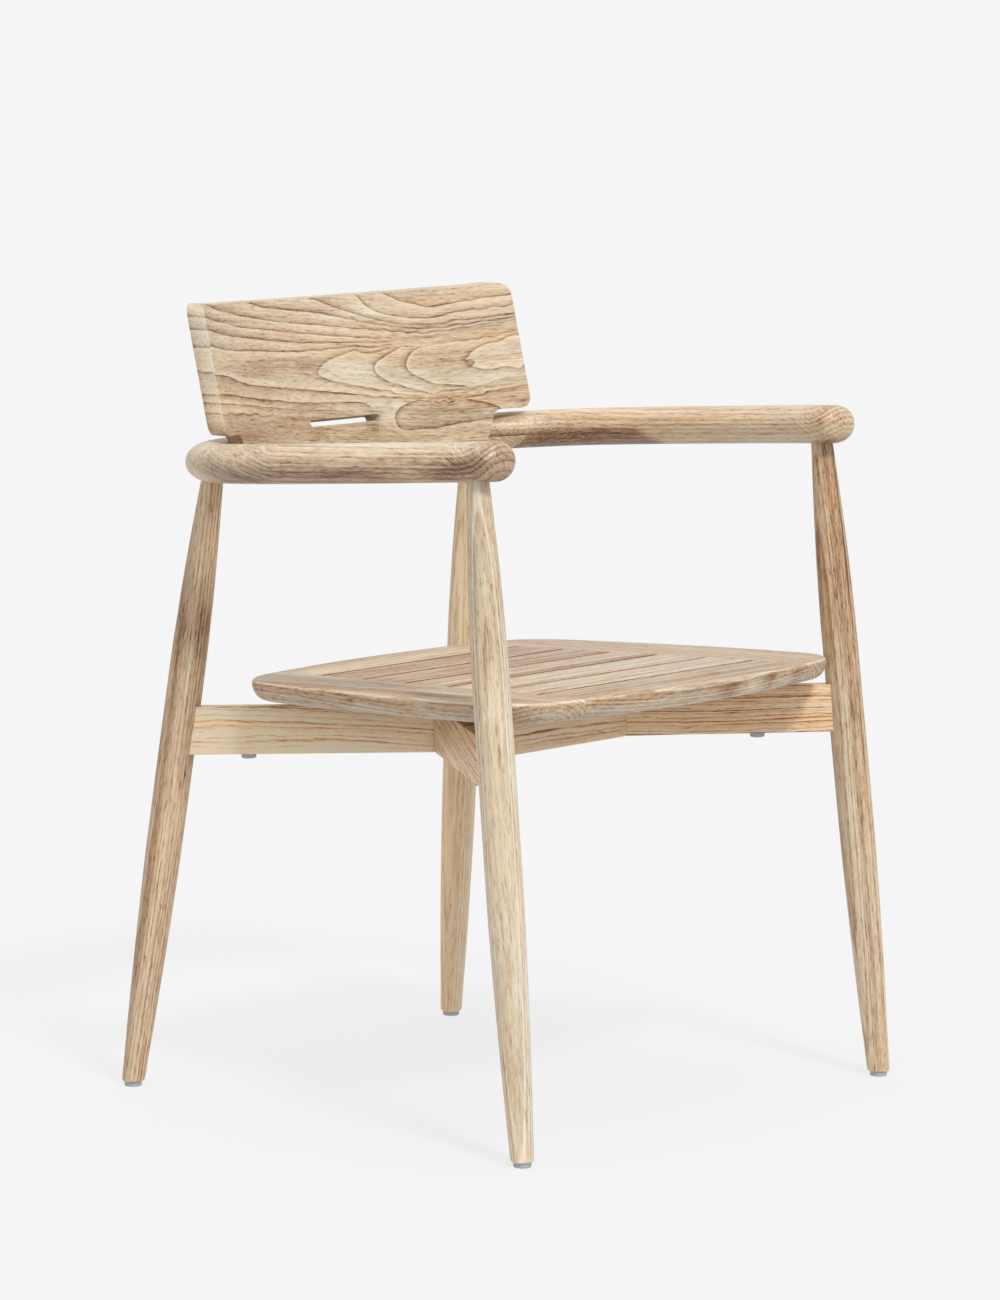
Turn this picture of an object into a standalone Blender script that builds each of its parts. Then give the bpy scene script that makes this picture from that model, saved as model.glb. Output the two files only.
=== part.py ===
"""Low-back wooden armchair: four turned legs, a horseshoe arm rail, a bent backrest board and a slatted seat.

Units are metres and +Z is up. The chair faces -Y, X is its mirror axis, and the origin lies on the floor
midway between the feet.
"""

import math

import bmesh
import bpy
from mathutils import Matrix, Vector

# Clearance kept between pieces that touch
GAP = 0.0003
# Extra length that carries a cutter past the face it opens, and reaches that clear a piece or the whole chair
OVERCUT = 0.02
WIDE_CUT = 0.05
CLEAR_OF_CHAIR = 0.40

# Legs: axis point on the floor and axis point at the underside of the arm rail
FRONT_FOOT = Vector((0.2810, -0.2716, 0.0))
FRONT_TOP = Vector((0.2666, -0.2044, 0.6412))
REAR_FOOT = Vector((0.2453, 0.2716, 0.0))
REAR_TOP = Vector((0.1971, 0.2010, 0.6150))
# Leg radius by height above the floor, for the lower half
LEG_LOWER = ((-0.006, 0.0112), (0.03, 0.0121), (0.08, 0.0140), (0.14, 0.0158), (0.20, 0.0171), (0.26, 0.0178))
# Leg radius by distance below the arm rail, for the upper half
LEG_UPPER = ((0.20, 0.0179), (0.15, 0.0172), (0.11, 0.0162), (0.08, 0.0150), (0.05, 0.0136), (0.02, 0.0120))
LEG_TOP_RADIUS = 0.0109
LEG_COLLAR = 0.003
LEG_TENON_RADIUS = 0.0085
LEG_TENON_LENGTH = 0.021
LEG_SIDES = 24

# Foot glides and stacking bumpers
GLIDE_RADIUS = 0.0087
GLIDE_HEIGHT = 0.0046
GLIDE_SHANK_RADIUS = 0.002
GLIDE_SHANK_LENGTH = 0.014
GLIDE_CHAMFER = 0.001
BUMPER_RADIUS = 0.0075
BUMPER_HEIGHT = 0.0050
BUMPER_CHAMFER = 0.0013
# Distance of each bumper from its leg's axis, along the underframe arm
BUMPER_FROM_LEG = {"front": 0.0904, "rear": 0.0683}
ROUND_SIDES = 16

# Horseshoe arm rail: half width and half height of its oval section, its pitch and its plan centreline
RAIL_HALF_WIDTH = 0.0245
RAIL_HALF_HEIGHT = 0.0193
RAIL_TIP_LENGTH = 0.0153
RAIL_FRONT_Y = -0.2228
RAIL_FRONT_Z = 0.6617
RAIL_FALL = 0.0663
RAIL_PLAN = (
    (0.2628, -0.2228),
    (0.2740, -0.1180),
    (0.2797, -0.0180),
    (0.2788, 0.0480),
    (0.2686, 0.1163),
    (0.2395, 0.1636),
    (0.1944, 0.1984),
    (0.1350, 0.2195),
    (0.0680, 0.2308),
    (0.0, 0.2340),
)
RAIL_STEPS = 3
RAIL_SIDES = 20
# Half-lap between an arm and the back rail
LAP_OUTER_X = 0.2222
LAP_INNER_X = 0.1650
LAP_HEIGHT = -0.005

# Backrest board: front surface y = DEPTH + RECLINE * (z - LEVEL) - BEND * x^2
BACK_DEPTH = 0.2036
BACK_LEVEL = 0.66
BACK_RECLINE = 0.2436
BACK_BEND = 1.004
BACK_THICKNESS = 0.0195
BACK_HALF_WIDTH = 0.2338
BACK_TOP_MIDDLE = 0.7832
BACK_TOP_RISE = 0.105
BACK_SHOULDER_Z = 0.6602
BACK_CORNER = 0.014
TAB_TOP_HALF_WIDTH = 0.1945
TAB_BOTTOM_HALF_WIDTH = 0.1800
TAB_BOTTOM_Z = 0.6295
GRIP_HALF_WIDTH = 0.0530
GRIP_Z = 0.6588
GRIP_HEIGHT = 0.0068
NOTCH_CORNER = 0.008
# Half width, lower and upper limits and segments of the bent sheet that the board is cut from
SHEET_HALF_WIDTH = 0.26
SHEET_LOW_Z = 0.600
SHEET_HIGH_Z = 0.830
SHEET_SEGMENTS = 16
# Depths that a cutter runs between to pass right through the board
BACK_CUT_NEAR_Y = 0.05
BACK_CUT_FAR_Y = 0.35

# Seat: pitch, top height at y = 0, thickness, outline bows and slots
PITCH = math.atan(0.0288)
SEAT_TOP = 0.4243
SEAT_THICKNESS = 0.0205
SEAT_FRONT_Y = -0.2765
SEAT_FRONT_BOW = 0.55
SEAT_REAR_Y = 0.1745
SEAT_REAR_BOW = 0.50
SEAT_SIDE_X = 0.2520
SEAT_SIDE_BOW = 0.363
SEAT_SIDE_WIDEST_Y = -0.155
SEAT_CORNER_RUN = 0.053
# Edge section of the seat as (inset, depth below the top)
SEAT_EDGE = ((0.0040, 0.0), (0.0004, 0.0016), (0.0, 0.0070), (0.0030, 0.0145), (0.0115, 0.0205))
SLOT_WIDTH = 0.0045
SLOT_REAR_Y = 0.0984
SLOT_PITCH = 0.05866
SLOT_COUNT = 6
SIDE_RAIL_INNER_X = 0.1575
SIDE_RAIL_INNER_TAPER = 0.0590
TONGUE_THICKNESS = 0.006
TONGUE_LENGTH = 0.010
TONGUE_SHOULDER = 0.004
# Where the grooves in the side rails and the tongues of the end rails stop, short of the outer edges
GROOVE_FRONT_Y = -0.245
GROOVE_REAR_Y = 0.150
TONGUE_FRONT_Y = -0.235
TONGUE_REAR_Y = 0.140

# Underframe: two V-shaped pairs of arms, joined by a front and a rear cross rail
FRAME_TOP = 0.3924
FRAME_HEIGHT = 0.0477
FRAME_THICKNESS = 0.0208
FRAME_VERTEX = Vector((0.0651, 0.0139))
CROSS_RAIL_Y = {"front": -0.0590, "rear": 0.0868}
FRAME_TENON_THICKNESS = 0.010
FRAME_TENON_HEIGHT = 0.032
FRAME_TENON_SHORT_OF_AXIS = 0.004
FRAME_TENON_ROOT = 0.045
CROSS_TENON_LENGTH = 0.010
SPLINE_THICKNESS = 0.008
SPLINE_LENGTH = 0.026
SPLINE_HEIGHT = 0.030

# Battens that carry the seat on the underframe
BATTEN_X = 0.085
BATTEN_WIDTH = 0.040
BATTEN_FRONT_Y = -0.170
BATTEN_REAR_Y = 0.118

# Seat screws, driven up through the cross rails
SEAT_SCREW_HEAD_RADIUS = 0.0045
SEAT_SCREW_HEAD_HEIGHT = 0.0030
SEAT_SCREW_SHANK_RADIUS = 0.0022
SEAT_SCREW_RECESS = 0.006
SEAT_SCREW_BITE = 0.009
SCREW_POINT_LENGTH = 0.004
SCREW_TIP_RADIUS = 0.0006
SCREW_HEAD_RIM = 0.0006

# Backrest screws, driven in from behind and covered with wooden plugs
BACK_SCREW_X = 0.140
BACK_SCREW_Z = 0.6400
BACK_SCREW_BITE = 0.011
BACK_SCREW_HEAD_DEPTH = 0.012
BACK_SCREW_HEAD_RADIUS = 0.0042
BACK_SCREW_HEAD_HEIGHT = 0.0030
BACK_SCREW_SHANK_RADIUS = 0.0020
PLUG_RADIUS = 0.0052
SCREW_SIDES = 12

TEAK_LIGHT = (0.66, 0.52, 0.36, 1.0)
TEAK_WARM = (0.60, 0.44, 0.29, 1.0)
TEAK_GREY = (0.60, 0.51, 0.41, 1.0)
GREY_PLASTIC = (0.35, 0.36, 0.37, 1.0)
STEEL = (0.62, 0.62, 0.62, 1.0)

SIDES = (("left", -1), ("right", 1))


# ---------------------------------------------------------------- scene and helper objects


def clear_scene():
    for obj in list(bpy.data.objects):
        bpy.data.objects.remove(obj, do_unlink=True)


def new_collection(name):
    collection = bpy.data.collections.new(name)
    bpy.context.scene.collection.children.link(collection)
    return collection


clear_scene()
CHAIR = new_collection("wooden_armchair")
CUTTERS = new_collection("cutters")


def make_material(name, colour, roughness, metallic=0.0):
    material = bpy.data.materials.new(name)
    material.use_nodes = True
    shader = material.node_tree.nodes["Principled BSDF"]
    shader.inputs["Base Color"].default_value = colour
    shader.inputs["Roughness"].default_value = roughness
    shader.inputs["Metallic"].default_value = metallic
    material.diffuse_color = colour
    return material


def new_object(name, mesh, matrix=None):
    """Link a mesh as a piece of the chair."""
    obj = bpy.data.objects.new(name, mesh)
    CHAIR.objects.link(obj)
    if matrix is not None:
        obj.matrix_world = matrix
    return obj


def finish(obj, colour, roughness, metallic=0.0):
    obj.data.materials.append(make_material(obj.name + "_finish", colour, roughness, metallic))
    obj.data.shade_smooth()
    obj.data.set_sharp_from_angle(angle=math.radians(35))
    return obj


def as_cutter(obj):
    """Move an object to the cutters, where it is drawn as wire and left out of renders."""
    for collection in list(obj.users_collection):
        collection.objects.unlink(obj)
    CUTTERS.objects.link(obj)
    obj.hide_render = True
    obj.display_type = "WIRE"
    return obj


def boolean(obj, other, operation):
    modifier = obj.modifiers.new(f"{operation.lower()} {other.name}", "BOOLEAN")
    modifier.operation = operation
    modifier.solver = "EXACT"
    modifier.object = other


def cut(obj, *others):
    for other in others:
        boolean(obj, other, "DIFFERENCE")


def join(obj, other):
    boolean(obj, other, "UNION")


def keep_inside(obj, other):
    boolean(obj, other, "INTERSECT")


def box(name, low, high, matrix=None):
    """A box between two corners, in the frame that the matrix gives."""
    mesh = bpy.data.meshes.new(name)
    bm = bmesh.new()
    bmesh.ops.create_cube(bm, size=1.0)
    size = [b - a for a, b in zip(low, high)]
    middle = [(a + b) / 2 for a, b in zip(low, high)]
    bmesh.ops.scale(bm, vec=size, verts=bm.verts)
    bmesh.ops.translate(bm, vec=middle, verts=bm.verts)
    bm.to_mesh(mesh)
    bm.free()
    return new_object(name, mesh, matrix)


def prism(name, outline, bottom, top, matrix=None):
    """A flat outline, counter-clockwise from above, extruded from bottom to top."""
    mesh = bpy.data.meshes.new(name)
    bm = bmesh.new()
    face = bm.faces.new([bm.verts.new((x, y, bottom)) for x, y in outline])
    raised = bmesh.ops.extrude_face_region(bm, geom=[face])
    verts = [item for item in raised["geom"] if isinstance(item, bmesh.types.BMVert)]
    bmesh.ops.translate(bm, vec=(0, 0, top - bottom), verts=verts)
    bmesh.ops.recalc_face_normals(bm, faces=bm.faces)
    bm.to_mesh(mesh)
    bm.free()
    return new_object(name, mesh, matrix)


def turned(name, profile, sides, matrix):
    """A solid of revolution about local Z. The profile holds (radius, height) pairs from top to bottom."""
    mesh = bpy.data.meshes.new(name)
    top, bottom = profile[0][1], profile[-1][1]
    points = [(0, 0, top)] + [(r, 0, h) for r, h in profile] + [(0, 0, bottom)]
    edges = [(i, i + 1) for i in range(len(points) - 1)]
    mesh.from_pydata(points, edges, [])
    obj = new_object(name, mesh, matrix)
    screw = obj.modifiers.new("turn", "SCREW")
    screw.steps = sides
    screw.render_steps = sides
    screw.use_merge_vertices = True
    screw.merge_threshold = 0.00005
    return obj


def smooth_points(points, steps):
    """Points on a Catmull-Rom curve through the given ones, with mirrored ends."""
    vectors = [Vector(p) for p in points]
    padded = [2 * vectors[0] - vectors[1]] + vectors + [2 * vectors[-1] - vectors[-2]]
    result = []
    for i in range(1, len(padded) - 2):
        a, b, c, d = padded[i - 1 : i + 3]
        for step in range(steps):
            t = step / steps
            bend = 2 * a - 5 * b + 4 * c - d
            twist = 3 * b - a - 3 * c + d
            result.append(0.5 * (2 * b + (c - a) * t + bend * t**2 + twist * t**3))
    result.append(vectors[-1])
    return result


def aligned_matrix(origin, axis):
    """A frame at the origin whose local Z runs along the axis."""
    return Matrix.Translation(origin) @ Vector(axis).to_track_quat("Z", "Y").to_matrix().to_4x4()


# ---------------------------------------------------------------- shared frames

RAIL_TILT = Matrix.Rotation(-math.atan(RAIL_FALL), 4, "X")
RAIL_FRAME = Matrix.Translation((0, RAIL_FRONT_Y, RAIL_FRONT_Z)) @ RAIL_TILT
SEAT_FRAME = Matrix.Translation((0, 0, SEAT_TOP)) @ Matrix.Rotation(-PITCH, 4, "X")
UNDER_FRAME = Matrix.Translation((0, 0, FRAME_TOP - FRAME_HEIGHT / 2)) @ Matrix.Rotation(-PITCH, 4, "X")


# ---------------------------------------------------------------- legs, glides


def mirrored(point, side):
    return Vector((point.x * side, point.y, point.z))


def leg_profile(length, grow):
    """(radius, height) pairs along a leg's own axis, from the tip of the top tenon to below the foot."""
    tip = length + LEG_TENON_LENGTH
    shoulder = length + LEG_COLLAR
    profile = [(LEG_TENON_RADIUS, tip), (LEG_TENON_RADIUS, shoulder)]
    profile += [(LEG_TOP_RADIUS, shoulder), (LEG_TOP_RADIUS, length)]
    profile += [(radius, length - below) for below, radius in reversed(LEG_UPPER)]
    profile += [(radius, height) for height, radius in reversed(LEG_LOWER)]
    grown = [(radius + grow, height) for radius, height in profile]
    if grow:
        grown[0] = (grown[0][0], tip + grow)
        grown[1] = (grown[1][0], grown[1][1] + grow)
        grown[2] = (grown[2][0], grown[2][1] + grow)
    return grown


def make_leg(name, foot, top):
    """A turned leg, with its foot cut level, and the cutter that fits it into other pieces."""
    axis = top - foot
    matrix = aligned_matrix(foot, axis)
    leg = turned(name, leg_profile(axis.length, 0.0), LEG_SIDES, matrix)
    cutter = as_cutter(turned("bore_" + name, leg_profile(axis.length, GAP), LEG_SIDES, matrix))
    floor_level = GLIDE_HEIGHT + GAP
    low = (foot.x - WIDE_CUT, foot.y - WIDE_CUT, -WIDE_CUT)
    high = (foot.x + WIDE_CUT, foot.y + WIDE_CUT, floor_level)
    cut(leg, as_cutter(box("level_" + name, low, high)))
    return finish(leg, TEAK_LIGHT, 0.5), cutter


def foot_centre(foot, top):
    """Centre of the level foot, where the leg's axis meets the top of the glide."""
    share = GLIDE_HEIGHT / (top.z - foot.z)
    centre = foot.lerp(top, share)
    return Vector((centre.x, centre.y, 0.0))


def make_glide(name, leg, foot, top):
    shank_top = GLIDE_HEIGHT + GLIDE_SHANK_LENGTH
    profile = [
        (GLIDE_SHANK_RADIUS, shank_top),
        (GLIDE_SHANK_RADIUS, GLIDE_HEIGHT),
        (GLIDE_RADIUS, GLIDE_HEIGHT),
        (GLIDE_RADIUS, GLIDE_CHAMFER),
        (GLIDE_RADIUS - GLIDE_CHAMFER, 0.0),
    ]
    hole = [(GLIDE_SHANK_RADIUS + GAP, shank_top + GAP), (GLIDE_SHANK_RADIUS + GAP, -OVERCUT)]
    matrix = Matrix.Translation(foot_centre(foot, top))
    glide = turned(name, profile, ROUND_SIDES, matrix)
    cut(leg, as_cutter(turned("hole_" + name, hole, ROUND_SIDES, matrix)))
    return finish(glide, GREY_PLASTIC, 0.45)


def axis_at_height(foot, top, height):
    return foot.lerp(top, (height - foot.z) / (top.z - foot.z))


# ---------------------------------------------------------------- horseshoe rail


def rail_path():
    """Centreline of the whole rail in its own plane, from the left tip round to the right one."""
    stretch = math.hypot(1.0, RAIL_FALL)
    half = [(x, (y - RAIL_FRONT_Y) * stretch) for x, y in RAIL_PLAN]
    across = [(-x, y) for x, y in half] + list(reversed(half[:-1]))
    return smooth_points(across, RAIL_STEPS)


def rail_mesh():
    """The rail as one closed body: a round sweep along the centreline, flattened to an oval."""
    path = rail_path()
    start, end = path[0], path[-1]
    start_dir = (path[0] - path[1]).normalized()
    end_dir = (path[-1] - path[-2]).normalized()
    angles = [math.radians(a) for a in (87, 72, 54, 36, 18)]
    tip = [(math.sin(a) * RAIL_TIP_LENGTH, math.cos(a)) for a in angles]
    points = [(start + start_dir * out, radius) for out, radius in tip]
    points += [(p, 1.0) for p in path]
    points += [(end + end_dir * out, radius) for out, radius in reversed(tip)]
    curve = bpy.data.curves.new("rail_sweep", "CURVE")
    curve.dimensions = "3D"
    curve.twist_mode = "Z_UP"
    curve.bevel_depth = RAIL_HALF_WIDTH
    curve.bevel_resolution = (RAIL_SIDES - 4) // 2
    curve.use_fill_caps = True
    spline = curve.splines.new("POLY")
    spline.points.add(len(points) - 1)
    for target, (place, radius) in zip(spline.points, points):
        target.co = (place.x, place.y, 0.0, 1.0)
        target.radius = radius
    sweep = bpy.data.objects.new("rail_sweep", curve)
    CHAIR.objects.link(sweep)
    bpy.context.view_layer.update()
    mesh = bpy.data.meshes.new_from_object(sweep.evaluated_get(bpy.context.evaluated_depsgraph_get()))
    bpy.data.objects.remove(sweep, do_unlink=True)
    bm = bmesh.new()
    bm.from_mesh(mesh)
    bmesh.ops.remove_doubles(bm, verts=bm.verts, dist=0.00002)
    bmesh.ops.scale(bm, vec=(1.0, 1.0, RAIL_HALF_HEIGHT / RAIL_HALF_WIDTH), verts=bm.verts)
    bmesh.ops.recalc_face_normals(bm, faces=bm.faces)
    bm.to_mesh(mesh)
    bm.free()
    mesh.name = "horseshoe_rail"
    return mesh


def lap_cutter(name, side, inner, outer, low, high):
    """A block across one side of the horseshoe, between two |x| and two heights in the rail's frame."""
    near, far = sorted((inner * side, outer * side))
    return as_cutter(box(name, (near, -0.10, low), (far, 0.60, high), RAIL_FRAME))


def make_arm(side_name, side, mesh, cutters):
    arm = new_object("arm_" + side_name, mesh.copy(), RAIL_FRAME)
    far = -CLEAR_OF_CHAIR
    inner = lap_cutter("trim_arm_" + side_name, side, far, LAP_INNER_X + GAP / 2, -WIDE_CUT, WIDE_CUT)
    top = LAP_HEIGHT + GAP / 2
    under = lap_cutter("lap_arm_" + side_name, side, far, LAP_OUTER_X + GAP / 2, -WIDE_CUT, top)
    cut(arm, inner, under, *cutters)
    return finish(arm, TEAK_WARM, 0.5)


def make_back_rail(mesh, cutters):
    rail = new_object("back_rail", mesh.copy(), RAIL_FRAME)
    far = CLEAR_OF_CHAIR
    for side_name, side in SIDES:
        cut(rail, lap_cutter("trim_rail_" + side_name, side, LAP_OUTER_X - GAP / 2, far, -WIDE_CUT, WIDE_CUT))
        above = LAP_HEIGHT - GAP / 2
        cut(rail, lap_cutter("lap_rail_" + side_name, side, LAP_INNER_X - GAP / 2, far, above, WIDE_CUT))
    cut(rail, *cutters)
    return finish(rail, TEAK_LIGHT, 0.5)


# ---------------------------------------------------------------- backrest


def back_surface(x, z):
    """Depth of the board's front surface."""
    return BACK_DEPTH + BACK_RECLINE * (z - BACK_LEVEL) - BACK_BEND * x * x


def back_normal(x):
    """Unit normal of the board's front surface, pointing forwards and up."""
    return Vector((-2 * BACK_BEND * x, -1.0, BACK_RECLINE)).normalized()


def corner_points(before, corner, after, radius, steps=4):
    """Points that round a corner between two straight edges, as a quadratic curve."""
    corner = Vector(corner)
    start = corner + (Vector(before) - corner).normalized() * radius
    end = corner + (Vector(after) - corner).normalized() * radius
    points = []
    for i in range(steps + 1):
        t = i / steps
        points.append((1 - t) ** 2 * start + 2 * t * (1 - t) * corner + t**2 * end)
    return points


def back_outline():
    """Front outline of the board as (x, z), counter-clockwise, with a crowned top and a tab below."""
    w, tab, low = BACK_HALF_WIDTH, TAB_TOP_HALF_WIDTH, TAB_BOTTOM_HALF_WIDTH
    top_z = BACK_TOP_MIDDLE + BACK_TOP_RISE * w * w
    top_corner = corner_points((w, BACK_SHOULDER_Z), (w, top_z), (0, top_z), BACK_CORNER)
    shoulder = corner_points((tab, BACK_SHOULDER_Z), (w, BACK_SHOULDER_Z), (w, top_z), BACK_CORNER)
    notch = corner_points((low, TAB_BOTTOM_Z), (tab, BACK_SHOULDER_Z), (w, BACK_SHOULDER_Z), NOTCH_CORNER, 3)
    right = [Vector((low, TAB_BOTTOM_Z))] + notch + shoulder + top_corner
    for x in (0.16, 0.08, 0.0):
        right.append(Vector((x, BACK_TOP_MIDDLE + BACK_TOP_RISE * x * x)))
    left = [Vector((-p.x, p.y)) for p in reversed(right[:-1])]
    return right + left


def grip_outline():
    """The hand slot about its own centre: a straight slot with round ends."""
    radius = GRIP_HEIGHT / 2
    run = GRIP_HALF_WIDTH - radius
    points = []
    for side in (1, -1):
        for degrees in (-90, -60, -30, 0, 30, 60, 90):
            angle = math.radians(degrees)
            across = run + radius * math.cos(angle)
            points.append((side * across, side * radius * math.sin(angle)))
    return points


def grip_cutter():
    """The hand slot, cut square to the face of the board at its middle."""
    tilt = Matrix.Rotation(math.radians(90) - math.atan(BACK_RECLINE), 4, "X")
    matrix = Matrix.Translation((0, back_surface(0, GRIP_Z), GRIP_Z)) @ tilt
    return as_cutter(prism("grip_backrest", grip_outline(), -WIDE_CUT, WIDE_CUT, matrix))


def bent_slab(name, grow=0.0):
    """A sheet bent to the board's curve and thickened to the rear, larger than the board on all sides."""
    half = SHEET_SEGMENTS // 2
    columns = [i * SHEET_HALF_WIDTH / half for i in range(-half, half + 1)]
    rows = (SHEET_LOW_Z, SHEET_HIGH_Z)
    mesh = bpy.data.meshes.new(name)
    points = [(x, back_surface(x, z) - grow, z) for z in rows for x in columns]
    count = len(columns)
    faces = [(i, i + 1, i + 1 + count, i + count) for i in range(count - 1)]
    mesh.from_pydata(points, [], faces)
    slab = new_object(name, mesh)
    solidify = slab.modifiers.new("thickness", "SOLIDIFY")
    solidify.thickness = BACK_THICKNESS + 2 * grow
    solidify.offset = -1.0
    solidify.use_even_offset = True
    return slab


def upright_prism(name, outline):
    """An (x, z) outline extruded along Y, right through the board."""
    matrix = Matrix.Rotation(math.radians(90), 4, "X")
    return as_cutter(prism(name, outline, -BACK_CUT_FAR_Y, -BACK_CUT_NEAR_Y, matrix))


def make_backrest():
    board = bent_slab("backrest_panel")
    keep_inside(board, upright_prism("outline_backrest", back_outline()))
    cut(board, grip_cutter())
    return finish(board, TEAK_LIGHT, 0.45)


def housing_cutter():
    """The space that the board's tab takes out of the rail, with clearance below and behind it."""
    slab = bent_slab("housing", GAP)
    low, wide, above = TAB_BOTTOM_HALF_WIDTH + GAP, TAB_TOP_HALF_WIDTH + GAP, BACK_SHOULDER_Z + OVERCUT
    right = [(low, TAB_BOTTOM_Z - GAP), (wide, BACK_SHOULDER_Z), (wide, above)]
    outline = right + [(-x, z) for x, z in reversed(right)]
    keep_inside(slab, upright_prism("outline_housing", outline))
    return as_cutter(slab)


# ---------------------------------------------------------------- seat


def side_x(y):
    return SEAT_SIDE_X - SEAT_SIDE_BOW * (y - SEAT_SIDE_WIDEST_Y) ** 2


def front_y(x):
    return SEAT_FRONT_Y + SEAT_FRONT_BOW * x * x


def rear_y(x):
    return SEAT_REAR_Y - SEAT_REAR_BOW * x * x


def meeting_point(edge):
    """Where a side edge would meet the front or rear edge if the corner were sharp."""
    x = SEAT_SIDE_X
    for _ in range(20):
        x = side_x(edge(x))
    return Vector((x, edge(x)))


def quadratic(start, control, end, steps):
    points = []
    for i in range(1, steps):
        t = i / steps
        points.append((1 - t) ** 2 * start + 2 * t * (1 - t) * control + t**2 * end)
    return points


def seat_outline():
    """Plan outline of the seat, counter-clockwise, with four bowed edges and rounded corners."""
    front_corner, rear_corner = meeting_point(front_y), meeting_point(rear_y)
    run = SEAT_CORNER_RUN
    front_end = front_corner.x - run
    rear_end = rear_corner.x - run
    side_start, side_end = front_corner.y + run, rear_corner.y - run
    half = [Vector((front_end * i / 4, front_y(front_end * i / 4))) for i in range(5)]
    half += quadratic(half[-1], front_corner, Vector((side_x(side_start), side_start)), 5)
    for i in range(9):
        y = side_start + (side_end - side_start) * i / 8
        half.append(Vector((side_x(y), y)))
    rear_run = [Vector((rear_end * i / 4, rear_y(rear_end * i / 4))) for i in range(4, -1, -1)]
    half += quadratic(half[-1], rear_corner, rear_run[0], 5)
    half += rear_run
    return half + [Vector((-p.x, p.y)) for p in reversed(half[1:-1])]


def inset_outline(outline, distance):
    """The outline moved inwards along its own normals."""
    result = []
    count = len(outline)
    for i, point in enumerate(outline):
        along = (outline[(i + 1) % count] - outline[i - 1]).normalized()
        result.append(point + Vector((-along.y, along.x)) * distance)
    return result


def seat_blank(name):
    """The whole seat as one body, lofted through its edge section, from which the outer rails are cut."""
    outline = seat_outline()
    bm = bmesh.new()
    rings = []
    for inset, depth in SEAT_EDGE:
        rings.append([bm.verts.new((p.x, p.y, -depth)) for p in inset_outline(outline, inset)])
    count = len(outline)
    for upper, lower in zip(rings, rings[1:]):
        for i in range(count):
            j = (i + 1) % count
            bm.faces.new((upper[i], lower[i], lower[j], upper[j]))
    bm.faces.new(rings[0])
    bm.faces.new(list(reversed(rings[-1])))
    bmesh.ops.recalc_face_normals(bm, faces=bm.faces)
    mesh = bpy.data.meshes.new(name)
    bm.to_mesh(mesh)
    bm.free()
    return new_object(name, mesh, SEAT_FRAME)


def inner_x(y):
    """Inner edge of a seat side rail."""
    return SIDE_RAIL_INNER_X - SIDE_RAIL_INNER_TAPER * y


def slot_y(index):
    return SLOT_REAR_Y - SLOT_PITCH * index


def band(low_y, high_y, spread):
    """Plan of a strip between the side rails, with ends that follow their inner edges, spread outwards."""
    low_x = inner_x(low_y) + spread
    high_x = inner_x(high_y) + spread
    return [(-low_x, low_y), (low_x, low_y), (high_x, high_y), (-high_x, high_y)]


def add_tongues(piece, name, low_y, high_y):
    middle = -SEAT_THICKNESS / 2
    half = TONGUE_THICKNESS / 2
    outline = band(low_y, high_y, TONGUE_LENGTH)
    tongue = as_cutter(prism("tongue_" + name, outline, middle - half, middle + half, SEAT_FRAME))
    join(piece, tongue)


def make_seat_side(side_name, side):
    """A seat side rail, which runs the whole depth of the seat and is grooved for the tongues."""
    rail = seat_blank("seat_side_rail_" + side_name)
    far = CLEAR_OF_CHAIR
    low, high = -far, far
    outline = [(inner_x(low), low), (far, low), (far, high), (inner_x(high), high)]
    if side < 0:
        outline = [(-x, y) for x, y in reversed(outline)]
    keep_inside(rail, as_cutter(prism("edge_side_" + side_name, outline, -WIDE_CUT, WIDE_CUT, SEAT_FRAME)))
    middle = -SEAT_THICKNESS / 2
    half = TONGUE_THICKNESS / 2 + GAP
    groove = band(GROOVE_FRONT_Y, GROOVE_REAR_Y, TONGUE_LENGTH + GAP)
    cut(rail, as_cutter(prism("groove_" + side_name, groove, middle - half, middle + half, SEAT_FRAME)))
    return finish(rail, TEAK_GREY, 0.55)


def make_seat_end(name, low_y, high_y, tongue_low, tongue_high):
    """The front or rear seat rail, which fits between the side rails."""
    rail = seat_blank(name)
    outline = band(low_y, high_y, -GAP)
    keep_inside(rail, as_cutter(prism("edge_" + name, outline, -WIDE_CUT, WIDE_CUT, SEAT_FRAME)))
    add_tongues(rail, name, tongue_low, tongue_high)
    return finish(rail, TEAK_GREY, 0.55)


def make_slat(index, screw_holes):
    """One slat between two slots, with a tongue at each end."""
    name = f"seat_slat_{index + 1}"
    high_y = slot_y(index) - SLOT_WIDTH / 2
    low_y = slot_y(index + 1) + SLOT_WIDTH / 2
    slat = prism(name, band(low_y, high_y, -GAP), -SEAT_THICKNESS, 0.0, SEAT_FRAME)
    add_tongues(slat, name, low_y + TONGUE_SHOULDER, high_y - TONGUE_SHOULDER)
    cut(slat, *screw_holes)
    return finish(slat, TEAK_GREY, 0.55)


def make_batten(side_name, side, screw_holes):
    top = -SEAT_THICKNESS - GAP
    bottom = -(SEAT_TOP - FRAME_TOP) + GAP
    middle = BATTEN_X * side
    low = (middle - BATTEN_WIDTH / 2, BATTEN_FRONT_Y, bottom)
    high = (middle + BATTEN_WIDTH / 2, BATTEN_REAR_Y, top)
    batten = box("seat_batten_" + side_name, low, high, SEAT_FRAME)
    cut(batten, *screw_holes)
    return finish(batten, TEAK_WARM, 0.6)


# ---------------------------------------------------------------- underframe


def frame_arm_lines(foot, top, side):
    """An underframe arm in plan: its vertex, its leg point, its direction and its left-hand normal."""
    leg = axis_at_height(foot, top, FRAME_TOP - FRAME_HEIGHT / 2)
    vertex = Vector((FRAME_VERTEX.x * side, FRAME_VERTEX.y))
    leg_point = Vector((leg.x * side, leg.y))
    along = (leg_point - vertex).normalized()
    return vertex, leg_point, along, Vector((-along.y, along.x))


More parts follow.
